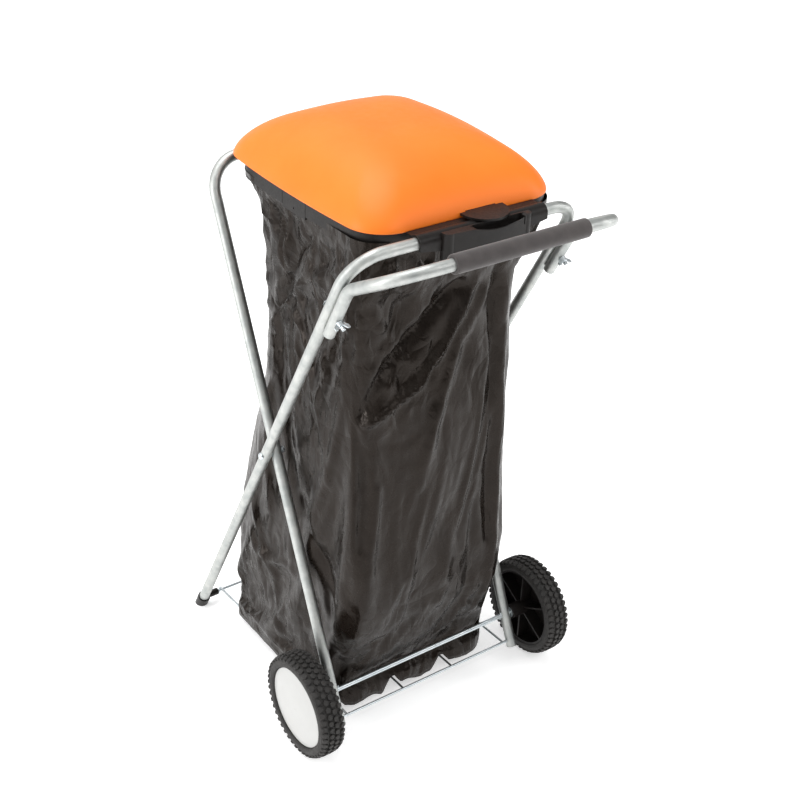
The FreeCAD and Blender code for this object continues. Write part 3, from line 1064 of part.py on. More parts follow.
def bag_wires(name, wall):
    """Wires from the ring down to the base, each moved inwards by the wall."""
    middle, top = size("ring_shift"), place("skirt_z")
    inset = inner_inset + size("seat_gap") + wall
    rear = skirt_back - size("ring_wall") - size("seat_gap") - wall
    wires = []
    for i, z in enumerate((top + 11 + (2 if wall else 0), top)):
        wire = rim_outline(f"{name}Top{i}", inset, rear)
        wires.append(seat(wire, z=f"{z:.3f}"))
    tilt = math.radians(place("rung_tilt"))
    run = place("wire_y")

    def base(y):
        lift = size("rung_d") / 2 + size("seat_gap") + wall
        return place("wire_z") + (y - run) * math.tan(tilt) + lift / math.cos(tilt)

    low = base(size("bag_base_back"))
    ring_half, waist, foot = size("lid_half") - inner_inset, size("bag_waist_half"), size("bag_base_half")
    front0, rear0 = place("lid_y0") + inner_inset, size("pivot_back")
    for i, (share, to_right, to_left, front, back) in enumerate(BAG_LEVELS):
        side = waist if share > 0.4 else waist + (foot - waist) * (0.4 - share) / 0.4
        right = side + (middle + ring_half - side) * to_right - wall
        left = -side + (middle - ring_half + side) * to_left + wall
        y0 = front0 + (size("bag_base_front") - front0) * front + wall
        y1 = rear0 + (size("bag_base_back") - rear0) * back - wall
        corner = size("bag_corner") - wall
        wire = outline(f"{name}Level{i}", (left, right), y0, y1, corner, BOW * 2)
        wires.append(seat(wire, z=f"{low + share * (top - low):.3f}"))
    y0, y1 = size("bag_base_front") + wall, size("bag_base_back") - wall
    half = (-size("bag_base_half") + wall, size("bag_base_half") - wall)
    flat = outline(f"{name}Base", half, y0, y1, size("bag_corner") - wall, BOW * 2)
    flat.Placement = Placement(Vector(0, 0, base(0)), Rotation(X, math.degrees(tilt)))
    wires.append(flat)
    return wires


sack = cut("Sack",
           loft("SackOuter", bag_wires("SackOut", 0)),
           loft("SackInner", bag_wires("SackIn", size("bag_wall"))))
finish("bag", sack)

# Check and export

doc.recompute()
os.makedirs("parts", exist_ok=True)
for obj in doc.Objects:
    if "Invalid" in obj.State or "Error" in obj.State:
        raise RuntimeError(f"{obj.Name} is {obj.State}")
for node, obj in finished:
    if obj.Shape.isNull() or not obj.Shape.isValid():
        raise RuntimeError(f"{node} has no valid shape")
    obj.Shape.exportStep(os.path.join("parts", node + ".step"))
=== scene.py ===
import math

import bmesh
import bpy
import numpy as np
from mathutils import Matrix, Vector, noise


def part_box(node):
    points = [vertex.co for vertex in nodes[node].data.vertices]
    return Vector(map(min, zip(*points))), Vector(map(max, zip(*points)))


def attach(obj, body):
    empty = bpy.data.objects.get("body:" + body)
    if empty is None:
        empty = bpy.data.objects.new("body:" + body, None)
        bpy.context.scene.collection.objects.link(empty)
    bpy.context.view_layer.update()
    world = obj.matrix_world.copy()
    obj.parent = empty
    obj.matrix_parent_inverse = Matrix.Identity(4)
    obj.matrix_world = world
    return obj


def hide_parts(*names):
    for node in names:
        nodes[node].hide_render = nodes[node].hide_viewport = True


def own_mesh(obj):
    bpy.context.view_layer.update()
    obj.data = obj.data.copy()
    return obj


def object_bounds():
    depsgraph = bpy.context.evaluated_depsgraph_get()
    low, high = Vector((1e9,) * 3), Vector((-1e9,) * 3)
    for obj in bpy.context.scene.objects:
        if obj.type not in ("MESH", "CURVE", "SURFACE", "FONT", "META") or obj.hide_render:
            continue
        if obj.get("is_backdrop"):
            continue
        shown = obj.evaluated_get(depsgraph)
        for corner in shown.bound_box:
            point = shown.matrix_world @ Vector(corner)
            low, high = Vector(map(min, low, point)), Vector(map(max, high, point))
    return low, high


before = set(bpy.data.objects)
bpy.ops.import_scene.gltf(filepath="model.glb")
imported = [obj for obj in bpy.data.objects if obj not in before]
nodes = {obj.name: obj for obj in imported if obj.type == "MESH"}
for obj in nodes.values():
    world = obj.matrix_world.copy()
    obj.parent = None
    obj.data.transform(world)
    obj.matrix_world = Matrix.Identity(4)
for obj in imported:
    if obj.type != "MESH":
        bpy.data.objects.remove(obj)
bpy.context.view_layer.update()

# Floor, light and camera
# A wide white sweep under soft studio light, brightest from above and from the
# left at the back, seen from high up in front of the trolley's left side.

scene = bpy.context.scene
scene.view_settings.view_transform = "Standard"

brightest_side = Vector((-0.62, 0.62, 0.48)).normalized()
world = bpy.data.worlds.new("studio")
world.use_nodes = True
sky = world.node_tree
way = sky.nodes.new("ShaderNodeTexCoord")
towards = sky.nodes.new("ShaderNodeVectorMath")
towards.operation = "DOT_PRODUCT"
towards.inputs[1].default_value = brightest_side
brightness = sky.nodes.new("ShaderNodeMapRange")
brightness.interpolation_type = "SMOOTHSTEP"
brightness.inputs["From Min"].default_value = -0.55
brightness.inputs["From Max"].default_value = 0.95
brightness.inputs["To Min"].default_value = 0.12
brightness.inputs["To Max"].default_value = 0.95
sky.links.new(way.outputs["Generated"], towards.inputs[0])
sky.links.new(towards.outputs["Value"], brightness.inputs["Value"])
sky.nodes["Background"].inputs["Color"].default_value = (1.0, 1.0, 1.0, 1.0)
sky.links.new(brightness.outputs["Result"], sky.nodes["Background"].inputs["Strength"])
scene.world = world


def softbox(name, place, aim, width, height, power):
    """Large area light turned towards a point."""
    lamp = bpy.data.lights.new(name, "AREA")
    lamp.shape = "RECTANGLE"
    lamp.size, lamp.size_y, lamp.energy = width, height, power
    box = bpy.data.objects.new(name, lamp)
    scene.collection.objects.link(box)
    box.location = place
    box.rotation_euler = (Vector(aim) - Vector(place)).to_track_quat("-Z", "Y").to_euler()


softbox("overhead", (-0.3, 0.5, 3.4), (0, 0, 0.5), 2.0, 2.0, 46)
softbox("left_window", (-2.7, 0.5, 1.3), (0, 0, 0.5), 0.7, 2.2, 30)
softbox("right_strip", (2.5, -1.2, 1.5), (0, 0, 0.5), 0.5, 2.0, 20)
softbox("front_high", (0.9, -2.6, 3.0), (0, 0, 0.7), 2.6, 1.6, 34)

sweep_half, under_feet = 45, 0.0005
floor_mesh = bpy.data.meshes.new("floor")
sweep = bmesh.new()
bmesh.ops.create_grid(sweep, x_segments=1, y_segments=1, size=sweep_half)
sweep.to_mesh(floor_mesh)
sweep.free()
floor = bpy.data.objects.new("floor", floor_mesh)
scene.collection.objects.link(floor)
floor.location.z = -under_feet
paper = bpy.data.materials.new("white_sweep")
paper.use_nodes = True
paper_shader = paper.node_tree.nodes["Principled BSDF"]
paper_shader.inputs["Base Color"].default_value = (0.93, 0.93, 0.93, 1)
paper_shader.inputs["Roughness"].default_value = 0.9
paper_shader.inputs["Specular IOR Level"].default_value = 0.1
paper_shader.inputs["Emission Color"].default_value = (1, 1, 1, 1)
paper_shader.inputs["Emission Strength"].default_value = 0.52
floor_mesh.materials.append(paper)
floor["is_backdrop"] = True

camera_place = (-1.1569, -1.6011, 1.6977)
camera_heading, camera_dip, camera_roll = -36.466, 30.535, 2.168
lens = bpy.data.cameras.new("camera")
lens.sensor_width = 36
lens.lens = 63.08
lens.clip_start, lens.clip_end = 0.05, 150
camera = bpy.data.objects.new("camera", lens)
scene.collection.objects.link(camera)
aimed = Matrix.Rotation(math.radians(camera_heading), 4, "Z")
aimed = aimed @ Matrix.Rotation(math.radians(90 - camera_dip), 4, "X")
aimed = aimed @ Matrix.Rotation(math.radians(camera_roll), 4, "Z")
camera.matrix_world = Matrix.Translation(camera_place) @ aimed
scene.camera = camera

# Frame tubes: two crossed U frames and the handle
# Round steel tube 18 mm across, cold bent, zinc plated to a satin grey
# with soft streaks drawn along it and a cloudy spangle.


def surface(name, colour, roughness, metal=0.0):
    """New finish with its shader, its nodes and its links."""
    finish = bpy.data.materials.new(name)
    finish.use_nodes = True
    tree = finish.node_tree
    shader = tree.nodes["Principled BSDF"]
    shader.inputs["Base Color"].default_value = (*colour, 1)
    shader.inputs["Roughness"].default_value = roughness
    shader.inputs["Metallic"].default_value = metal
    return finish, tree, shader


def grain(tree, scale, stretch=(1, 1, 1), detail=3.0, roughness=0.5):
    """Noise fixed to the object, its pattern drawn out along one way."""
    where = tree.nodes.new("ShaderNodeTexCoord")
    drawn = tree.nodes.new("ShaderNodeMapping")
    drawn.inputs["Scale"].default_value = stretch
    tree.links.new(where.outputs["Object"], drawn.inputs["Vector"])
    speck = tree.nodes.new("ShaderNodeTexNoise")
    speck.inputs["Scale"].default_value = scale
    speck.inputs["Detail"].default_value = detail
    speck.inputs["Roughness"].default_value = roughness
    tree.links.new(drawn.outputs["Vector"], speck.inputs["Vector"])
    return speck.outputs["Fac"]


def toned(tree, fac, low, high, socket):
    """Colour or number between two tones, by a pattern."""
    ramp = tree.nodes.new("ShaderNodeValToRGB")
    for stop, position, tone in zip(ramp.color_ramp.elements, (0.3, 0.7), (low, high)):
        stop.position = position
        stop.color = (*tone, 1) if isinstance(tone, tuple) else (tone, tone, tone, 1)
    tree.links.new(fac, ramp.inputs["Fac"])
    tree.links.new(ramp.outputs["Color"], socket)


def relief(tree, shader, fac, depth, strength=0.5, under=None):
    """Bump of a given depth in metres, laid over another if there is one."""
    bump = tree.nodes.new("ShaderNodeBump")
    bump.inputs["Distance"].default_value = depth
    bump.inputs["Strength"].default_value = strength
    tree.links.new(fac, bump.inputs["Height"])
    if under is not None:
        tree.links.new(under.outputs["Normal"], bump.inputs["Normal"])
    tree.links.new(bump.outputs["Normal"], shader.inputs["Normal"])
    return bump


zinc, tree, shader = surface("satin_zinc", (0.62, 0.62, 0.61), 0.36, 1.0)
toned(tree, grain(tree, 55, detail=4), (0.41, 0.43, 0.42), (0.57, 0.58, 0.56),
      shader.inputs["Base Color"])
toned(tree, grain(tree, 60), 0.44, 0.56, shader.inputs["Roughness"])
relief(tree, shader, grain(tree, 700, (1, 0.3, 0.15)), 0.0001, 0.15)


def refinish(finish, *names):
    """Gives CAD nodes their finish."""
    for name in names:
        nodes[name].data.materials.clear()
        nodes[name].data.materials.append(finish)


refinish(zinc, "foot_frame_tube", "wheel_frame_tube", "handle_tube")

# Bright fittings: axle, bolts, nuts, pins, rear rod and wire tray
# Drawn steel wire and turned parts with bright, faintly blue zinc,
# the tray's wires welded where they cross the front wire.

bright, tree, shader = surface("bright_zinc", (0.72, 0.76, 0.80), 0.2, 1.0)
toned(tree, grain(tree, 40, detail=4), (0.60, 0.66, 0.69), (0.74, 0.78, 0.80),
      shader.inputs["Base Color"])
toned(tree, grain(tree, 120), 0.26, 0.38, shader.inputs["Roughness"])
refinish(bright, "foot_rod", "bag_tray", "axle", "axle_pin_left", "axle_pin_right",
         "wheel_washer_left", "wheel_washer_right", "axle_clip_left", "axle_clip_right",
         "pivot_bolt_left", "pivot_bolt_right", "pivot_nut_left", "pivot_nut_right",
         "pivot_washer_left", "pivot_washer_right", "handle_bolt_left", "handle_bolt_right",
         "wing_nut_left", "wing_nut_right", "hinge_pin_left", "hinge_pin_right")

# Moulded black parts: foot caps, rims, bag ring, its clamp ring and the thumb tab
# Injection moulded polypropylene with a fine spark-eroded grain,
# which leaves a low sheen and slightly polished edges.

black, tree, shader = surface("black_plastic", (0.010, 0.008, 0.0072), 0.4)
shader.inputs["Specular IOR Level"].default_value = 0.24
toned(tree, grain(tree, 40, detail=2), (0.008, 0.0066, 0.006), (0.013, 0.0108, 0.0098),
      shader.inputs["Base Color"])
toned(tree, grain(tree, 260), 0.34, 0.48, shader.inputs["Roughness"])
relief(tree, shader, grain(tree, 1400, detail=2), 0.00012, 0.35)
refinish(black, "foot_cap_left", "foot_cap_right", "rim_left", "rim_right",
         "bag_ring", "bag_clamp_ring", "lid_grip_tab")

# Hubcaps: white discs over the wheels' middles
# Gloss white plastic, moulded flat with a soft edge and pressed over the rim.

white, tree, shader = surface("white_plastic", (0.505, 0.505, 0.492), 0.35)
toned(tree, grain(tree, 30, detail=2), (0.495, 0.495, 0.482), (0.515, 0.515, 0.502),
      shader.inputs["Base Color"])
relief(tree, shader, grain(tree, 500, detail=1), 0.0001, 0.15)
refinish(white, "hubcap_left", "hubcap_right")

# Tyres: solid black rubber with four staggered rows of rounded blocks
# Moulded in one piece and stretched over the rim; the outer rows of blocks
# are wider and lean out over the shoulder.

rubber, tree, shader = surface("black_rubber", (0.022, 0.020, 0.018), 0.72)
toned(tree, grain(tree, 70, detail=4), (0.016, 0.015, 0.014), (0.030, 0.027, 0.025),
      shader.inputs["Base Color"])
toned(tree, grain(tree, 240), 0.62, 0.82, shader.inputs["Roughness"])
relief(tree, shader, grain(tree, 900, detail=3), 0.0002, 0.5)

blocks_round = 46
tread_height = 0.0042
tyre_bead = 0.0705
block_length = 0.0098
# Across the tyre: place, block width, lean in degrees, drop below the crown and added height.
tread_rows = (
    (-0.01554, 0.0104, -24, 0.0021, 0.0004),
    (-0.0050, 0.0088, 0, 0, 0),
    (0.0050, 0.0088, 0, 0, 0),
    (0.01554, 0.0104, 24, 0.0021, 0.0004),
)


def tyre_body(width, outer, bead):
    """Tyre without its blocks: its section spun round the X axis, centred on the origin."""
    half = width / 2
    section = ((-half + 0.003, bead), (half - 0.003, bead), (half - 0.0006, bead + 0.002),
               (half, bead + 0.006), (half - 0.0008, bead + 0.0105), (half - 0.0042, outer - 0.0052),
               (half - 0.0075, outer - tread_height), (0, outer - tread_height + 0.0004),
               (-half + 0.0075, outer - tread_height), (-half + 0.0042, outer - 0.0052),
               (-half + 0.0008, bead + 0.0105), (-half, bead + 0.006), (-half + 0.0006, bead + 0.002))
    made = bmesh.new()
    corners = [made.verts.new((x, 0, r)) for x, r in section]
    outline = [made.edges.new((a, b)) for a, b in zip(corners, corners[1:] + corners[:1])]
    bmesh.ops.spin(made, geom=corners + outline, cent=(0, 0, 0), axis=(1, 0, 0), dvec=(0, 0, 0),
                   angle=2 * math.pi, steps=92, use_merge=True)
    bmesh.ops.recalc_face_normals(made, faces=made.faces)
    return made


def tread_block(made, across, out, lean, length, width, height, turn):
    """Six-sided block with a rounded top, stood on the tyre at one angle."""
    below, flare, top_edge = 0.0022, 1.06, 0.0007
    base = bmesh.ops.create_circle(made, cap_ends=True, segments=6, radius=0.5)["verts"]
    flat = [f for f in made.faces if all(v in base for v in f.verts)]
    grown = bmesh.ops.extrude_face_region(made, geom=flat)
    top = [v for v in grown["geom"] if isinstance(v, bmesh.types.BMVert)]
    bmesh.ops.delete(made, geom=flat, context="FACES_ONLY")
    for v in base:
        v.co = Vector((v.co.x * width * flare, v.co.y * length * flare, -below))
    for v in top:
        v.co = Vector((v.co.x * width, v.co.y * length, height))
    rims = [e for e in made.edges if all(v in top for v in e.verts)]
    rounded = bmesh.ops.bevel(made, geom=rims, offset=top_edge, segments=2, profile=0.5,
                              affect="EDGES", material=-1)
    whole = list({v for f in rounded["faces"] for v in f.verts} | set(base))
    place = Matrix.Rotation(turn, 4, "X") @ Matrix.Translation((across, 0, out))
    place = place @ Matrix.Rotation(lean, 4, "Y")
    reached = set(whole)
    for v in whole:
        for e in v.link_edges:
            reached.add(e.other_vert(v))
    bmesh.ops.transform(made, matrix=place, verts=list(reached))


for side in ("left", "right"):
    low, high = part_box(f"tyre_{side}")
    middle = (low + high) / 2
    width, outer = high.x - low.x, (high.z - low.z) / 2
    tyre = tyre_body(width, outer, tyre_bead)
    step = 2 * math.pi / blocks_round
    for k in range(blocks_round):
        for row, (across, block_width, lean, drop, taller) in enumerate(tread_rows):
            turn = step * (k + (0.5 if row % 2 else 0))
            tread_block(tyre, across, outer - (tread_height + drop), math.radians(lean), block_length,
                        block_width, tread_height + taller, turn)
    bmesh.ops.translate(tyre, vec=middle, verts=tyre.verts)
    mesh = bpy.data.meshes.new(f"tyre_{side}_tread")
    tyre.to_mesh(mesh)
    tyre.free()
    mesh.materials.append(rubber)
    tyre_piece = bpy.data.objects.new(f"tyre_{side}_tread", mesh)
    scene.collection.objects.link(tyre_piece)
    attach(tyre_piece, f"wheel_{side}")
    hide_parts(f"tyre_{side}")

# Foam grip on the hand bar
# Closed-cell foam sleeve, 28 mm across, pushed over the tube, its ends
# cut square with soft corners and its skin slightly uneven.

foam, tree, shader = surface("grip_foam", (0.05, 0.042, 0.040), 0.8)
toned(tree, grain(tree, 60, detail=4), (0.040, 0.033, 0.032), (0.058, 0.049, 0.047),
      shader.inputs["Base Color"])
relief(tree, shader, grain(tree, 1500, detail=2), 0.0003, 0.5)
shader.inputs["Sheen Weight"].default_value = 0.25
shader.inputs["Sheen Roughness"].default_value = 0.5

low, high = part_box("foam_grip")
centre, half, skin = (low + high) / 2, (high.x - low.x) / 2, (high.z - low.z) / 2
grip_bore, soft_corner, bore_edge = 0.0091, 0.0022, (0.0006, 0.0016)
grip_steps = 40
grip = bmesh.new()
one_end = [(-half + bore_edge[0], grip_bore), (-half, grip_bore + bore_edge[1])]
for turn in (0, 0.4, 0.8, 1.2, 1.57):
    one_end.append((-half + soft_corner * (1 - math.cos(turn)),
                    skin - soft_corner * (1 - math.sin(turn))))
straight = [(-half + soft_corner + (half - soft_corner) * 2 * i / grip_steps, skin)
            for i in range(1, grip_steps)]
other_end = [(-x, r) for x, r in reversed(one_end)]
corners = [grip.verts.new((x, 0, r)) for x, r in one_end + straight + other_end]
outline = [grip.edges.new((a, b)) for a, b in zip(corners, corners[1:])]
bmesh.ops.spin(grip, geom=corners + outline, cent=(0, 0, 0), axis=(1, 0, 0), dvec=(0, 0, 0),
               angle=2 * math.pi, steps=48, use_merge=True)
bmesh.ops.recalc_face_normals(grip, faces=grip.faces)
for v in grip.verts:
    r = math.hypot(v.co.y, v.co.z)
    if r > grip_bore + 0.001:
        swell = 0.0003 * noise.noise(Vector((v.co.x * 28, v.co.y * 90, v.co.z * 90)))
        scale = min(1.0, (r + swell) / r)
        v.co.y, v.co.z = v.co.y * scale, v.co.z * scale
bmesh.ops.translate(grip, vec=centre, verts=grip.verts)
mesh = bpy.data.meshes.new("grip_sleeve")
grip.to_mesh(mesh)
grip.free()
mesh.polygons.foreach_set("use_smooth", [True] * len(mesh.polygons))
mesh.materials.append(foam)
sleeve = bpy.data.objects.new("grip_sleeve", mesh)
scene.collection.objects.link(sleeve)
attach(sleeve, "foot_frame")
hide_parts("foam_grip")

# Lid: one domed orange moulding, hinged at the rear
# Polypropylene 2.5 mm thick with an even matt grain, steep at its edge and
# low at its crown, with two eyes at the rear that turn on the hinge pins.

orange, tree, shader = surface("orange_plastic", (0.97, 0.215, 0.020), 0.42)
shader.inputs["Specular IOR Level"].default_value = 0.3
toned(tree, grain(tree, 12, detail=2), (0.96, 0.200, 0.015), (0.98, 0.220, 0.021),
      shader.inputs["Base Color"])
toned(tree, grain(tree, 90), 0.40, 0.47, shader.inputs["Roughness"])
relief(tree, shader, grain(tree, 1300, detail=2), 0.00012, 0.3)

lid_low, lid_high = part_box("lid")
pin_low, pin_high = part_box("hinge_pin_left")
pin = (pin_low + pin_high) / 2
eye_reach = 0.0075
lid_rear = pin.y - eye_reach
lid_middle = Vector(((lid_low.x + lid_high.x) / 2, (lid_low.y + lid_rear) / 2))
lid_wide, lid_long = (lid_high.x - lid_low.x) / 2, (lid_rear - lid_low.y) / 2
lid_corner, lid_waist, lid_crown, lid_wall = 0.060, 0.0107, 0.0833, 0.0025
lid_rows, lid_spread = 44, 1.7
side_power, crown_power, roundness = 2.889, 1 / 1.469, 0.879
lid_bow = (lid_long ** 2 + lid_waist ** 2) / (2 * lid_waist)


def lid_quarter(side_points, corner_points, end_points):
    """Quarter of the lid's outline about its middle: bowed side, round corner, straight end."""
    cy = lid_long - lid_corner
    cx = lid_wide - lid_bow + math.sqrt((lid_bow - lid_corner) ** 2 - cy ** 2)
    meet = math.atan2(cy, cx - lid_wide + lid_bow)
    points = [Vector((lid_wide - lid_bow + lid_bow * math.cos(meet * i / side_points),
                      lid_bow * math.sin(meet * i / side_points))) for i in range(side_points)]
    for i in range(corner_points):
        turn = meet + (math.pi / 2 - meet) * i / corner_points
        points.append(Vector((cx + lid_corner * math.cos(turn), cy + lid_corner * math.sin(turn))))
    points += [Vector((cx * (1 - i / end_points), lid_long)) for i in range(end_points)]
    return points


quarter = lid_quarter(side_points=16, corner_points=14, end_points=10)
rear_half = quarter + [Vector((-p.x, p.y)) for p in ([Vector((0, lid_long))] + quarter[:0:-1])]
rim_line = rear_half + [Vector((-p.x, -p.y)) for p in rear_half]


def next_ring(made, last):
    """Extrudes the mesh's open edge once and gives the new edge's points in the same order."""
    kept = set(last)
    border = [e for e in made.edges if e.verts[0] in kept and e.verts[1] in kept]
    grown = bmesh.ops.extrude_edge_only(made, edges=border)["geom"]
    new = {v for v in grown if isinstance(v, bmesh.types.BMVert)} - kept
    return [next(e.other_vert(v) for e in v.link_edges if e.other_vert(v) in new) for v in last]


dome = bmesh.new()
loop = list(bmesh.ops.create_circle(dome, cap_ends=False, segments=len(rim_line), radius=0.2)["verts"])
for row in range(lid_rows):
    share = 1 - (row / lid_rows) ** lid_spread
    if row:
        loop = next_ring(dome, loop)
    rounding = (1 - share) * roundness
    rise = lid_crown * (1 - share ** side_power) ** crown_power
    for v, edge in zip(loop, rim_line):
        around = math.atan2(edge.y / lid_long, edge.x / lid_wide)
        oval = Vector((lid_wide * math.cos(around), lid_long * math.sin(around)))
        flat = lid_middle + share * edge.lerp(oval, rounding)
        v.co = (flat.x, flat.y, lid_low.z + rise)
bmesh.ops.pointmerge(dome, verts=loop, merge_co=(*lid_middle, lid_low.z + lid_crown))
bmesh.ops.recalc_face_normals(dome, faces=dome.faces)
mesh = bpy.data.meshes.new("lid_dome")
dome.to_mesh(mesh)
dome.free()
mesh.polygons.foreach_set("use_smooth", [True] * len(mesh.polygons))
mesh.materials.append(orange)
lid_dome = bpy.data.objects.new("lid_dome", mesh)
scene.collection.objects.link(lid_dome)
wall = lid_dome.modifiers.new("wall", "SOLIDIFY")
wall.thickness, wall.offset, wall.use_even_offset = lid_wall, -1, True

eye_across, eye_wide, eye_radius = 0.070, 0.020, 0.0045
arm_long, arm_thick, arm_in, arm_up = 0.0115, 0.0045, 0.0016, 0.0022
eyes = bmesh.new()
for side in (-1, 1):
    across = lid_middle.x + side * eye_across
    laid = Matrix.Translation((across, pin.y, pin.z)) @ Matrix.Rotation(math.pi / 2, 4, "Y")
    bmesh.ops.create_cone(eyes, cap_ends=True, segments=24, radius1=eye_radius, radius2=eye_radius,
                          depth=eye_wide, matrix=laid)
    arm = Matrix.Translation((across, lid_rear + arm_in, pin.z + arm_up))
    arm = arm @ Matrix.Diagonal((eye_wide, arm_long, arm_thick, 1))
    bmesh.ops.create_cube(eyes, size=1, matrix=arm)
mesh = bpy.data.meshes.new("lid_eyes")
eyes.to_mesh(mesh)
eyes.free()
mesh.materials.append(orange)
lid_eyes = bpy.data.objects.new("lid_eyes", mesh)
scene.collection.objects.link(lid_eyes)
for piece in (lid_dome, lid_eyes):
    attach(piece, "lid")
    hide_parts("lid")

# Bin bag: thin black film hung from the ring, its base on the wire tray
# A flat polythene sack, 700 by 1100 mm, opened out and held between the ring's
# skirt and the clamp ring, creased and slack, crumpled where it meets the wires.

film, tree, shader = surface("bag_film", (0.010, 0.0078, 0.0062), 0.27)
toned(tree, grain(tree, 25, (1, 1, 0.5), detail=4), (0.007, 0.0050, 0.0038), (0.012, 0.0088, 0.0068),
      shader.inputs["Base Color"])
toned(tree, grain(tree, 45, detail=4), 0.20, 0.36, shader.inputs["Roughness"])
shader.inputs["Specular IOR Level"].default_value = 0.22
shader.inputs["Specular Tint"].default_value = (1.0, 0.88, 0.80, 1)


def facets(tree, scale, stretch, warp):
    """Flat patches that meet in sharp creases, as in crinkled film."""
    where = tree.nodes.new("ShaderNodeTexCoord")
    wander = tree.nodes.new("ShaderNodeTexNoise")
    wander.inputs["Scale"].default_value = 9.0
    tree.links.new(where.outputs["Object"], wander.inputs["Vector"])
    moved = tree.nodes.new("ShaderNodeVectorMath")
    moved.operation = "MULTIPLY_ADD"
    moved.inputs[1].default_value = (warp, warp, warp)
    tree.links.new(wander.outputs["Color"], moved.inputs[0])
    tree.links.new(where.outputs["Object"], moved.inputs[2])
    drawn = tree.nodes.new("ShaderNodeMapping")
    drawn.inputs["Scale"].default_value = stretch
    tree.links.new(moved.outputs["Vector"], drawn.inputs["Vector"])
    cells = tree.nodes.new("ShaderNodeTexVoronoi")
    cells.feature = "DISTANCE_TO_EDGE"
    cells.inputs["Scale"].default_value = scale
    tree.links.new(drawn.outputs["Vector"], cells.inputs["Vector"])
    return cells.outputs["Distance"]


def by_crumple(tree, bump, least, most):
    """Bump strength that follows how crumpled the film is at each point."""
    crumple = tree.nodes.new("ShaderNodeAttribute")
    crumple.attribute_name = "crumple"
    span = tree.nodes.new("ShaderNodeMapRange")
    span.inputs["To Min"].default_value = least
    span.inputs["To Max"].default_value = most
    tree.links.new(crumple.outputs["Fac"], span.inputs["Value"])
    tree.links.new(span.outputs["Result"], bump.inputs["Strength"])


broad_creases = relief(tree, shader, facets(tree, 15, (1, 1, 0.42), 0.10), 0.016)
by_crumple(tree, broad_creases, 0.20, 1.0)
fine_creases = relief(tree, shader, facets(tree, 42, (1, 1, 0.45), 0.06), 0.0055, under=broad_creases)
by_crumple(tree, fine_creases, 0.25, 0.8)
relief(tree, shader, grain(tree, 150, (1, 1, 0.5), detail=4, roughness=0.6), 0.001, 0.3, fine_creases)

# Height, left, right, front, back and rear corner radius of the hanging sack, from ring to tray.
sections = (
    (0.901, -0.1567, 0.1912, -0.1590, 0.2130, 0.052),
    (0.889, -0.1567, 0.1912, -0.1590, 0.2110, 0.060),
    (0.872, -0.1575, 0.1860, -0.1585, 0.1930, 0.090),
    (0.843, -0.1580, 0.1760, -0.1573, 0.1845, 0.100),
    (0.791, -0.1580, 0.1610, -0.1311, 0.1919, 0.110),
    (0.701, -0.1590, 0.1594, -0.1293, 0.1857, 0.100),
    (0.640, -0.1600, 0.1557, -0.1340, 0.1823, 0.095),
    (0.589, -0.1610, 0.1536, -0.1386, 0.1817, 0.090),
    (0.530, -0.1620, 0.1519, -0.1430, 0.1914, 0.080),
    (0.460, -0.1650, 0.1480, -0.1479, 0.2076, 0.070),
    (0.380, -0.1690, 0.1527, -0.1535, 0.2213, 0.060),
    (0.297, -0.1720, 0.1654, -0.1591, 0.2315, 0.050),
    (0.203, -0.1740, 0.1656, -0.1498, 0.2342, 0.036),
    (0.125, -0.1740, 0.1680, -0.1180, 0.2389, 0.030),
    (0.090, -0.1735, 0.1660, -0.1120, 0.2350, 0.029),
    (0.060, -0.1730, 0.1640, -0.1150, 0.2307, 0.028),
)
side_steps, corner_steps, sack_rows, base_rows = 54, 12, 128, 18
sack_top, gather_top, sack_foot = 0.901, 0.16, 0.052
held_above = 0.888
front_corner = 0.045
wire_front, wire_height, wire_fall = -0.148, 0.0480, math.radians(-2.38)
film_lift = 0.0009
inner_wire, outer_wire, over_edge = 0.052, 0.168, 0.1705
lowest_film = 0.0185


def part_way(value, begin, span):
    """Share of a span, up or down from its beginning, that a value has covered, from 0 to 1."""
    return min(1.0, max(0.0, (value - begin) / span))


def base_height(y):
    """Top of the tray's long wires under the sack."""
    return wire_height + (y - wire_front) * math.tan(wire_fall) + film_lift


def slack_base(x, y):
    """Base of the sack: it lies on the long wires and sags between and outside them in gathers."""
    to_wire = min(abs(abs(x) - inner_wire), abs(abs(x) - outer_wire))
    free = part_way(to_wire, 0.004, 0.016)
    front = part_way(y, -0.080, -0.030)
    gathers = 0.7 - 2 * abs(noise.noise(Vector((x * 21, y * 21, 0.3))))
    sag = free * (0.006 + 0.016 * front + 0.010 * gathers * (0.4 + 0.6 * front))
    if abs(x) > over_edge:
        sag = 0.023 + 0.005 * gathers
    return max(lowest_film, base_height(y) - sag)


def rounded_ring(left, right, front, back, rear_corner):
    """Points round one level of the sack, anticlockwise from its left rear corner."""
    corners = ((Vector((left + rear_corner, back - rear_corner)), rear_corner),
               (Vector((left + front_corner, front + front_corner)), front_corner),
               (Vector((right - front_corner, front + front_corner)), front_corner),
               (Vector((right - rear_corner, back - rear_corner)), rear_corner))
    points = []
    for k, (middle, radius) in enumerate(corners):
        begin = (k + 1) * math.pi / 2
        for i in range(corner_steps):
            turn = begin + (i + 0.5) / corner_steps * math.pi / 2
            points.append(middle + radius * Vector((math.cos(turn), math.sin(turn))))
        next_middle, next_radius = corners[(k + 1) % 4]
        turn = begin + math.pi / 2
        facing = Vector((math.cos(turn), math.sin(turn)))
        side_begin, side_end = middle + radius * facing, next_middle + next_radius * facing
        points += [side_begin.lerp(side_end, (i + 0.5) / side_steps) for i in range(side_steps)]
    return points


def level(z):
    """Left, right, front, back and rear corner radius of the sack at a height."""
    rising = np.array(sections)[::-1]
    return [float(np.interp(z, rising[:, 0], rising[:, k])) for k in range(1, rising.shape[1])]


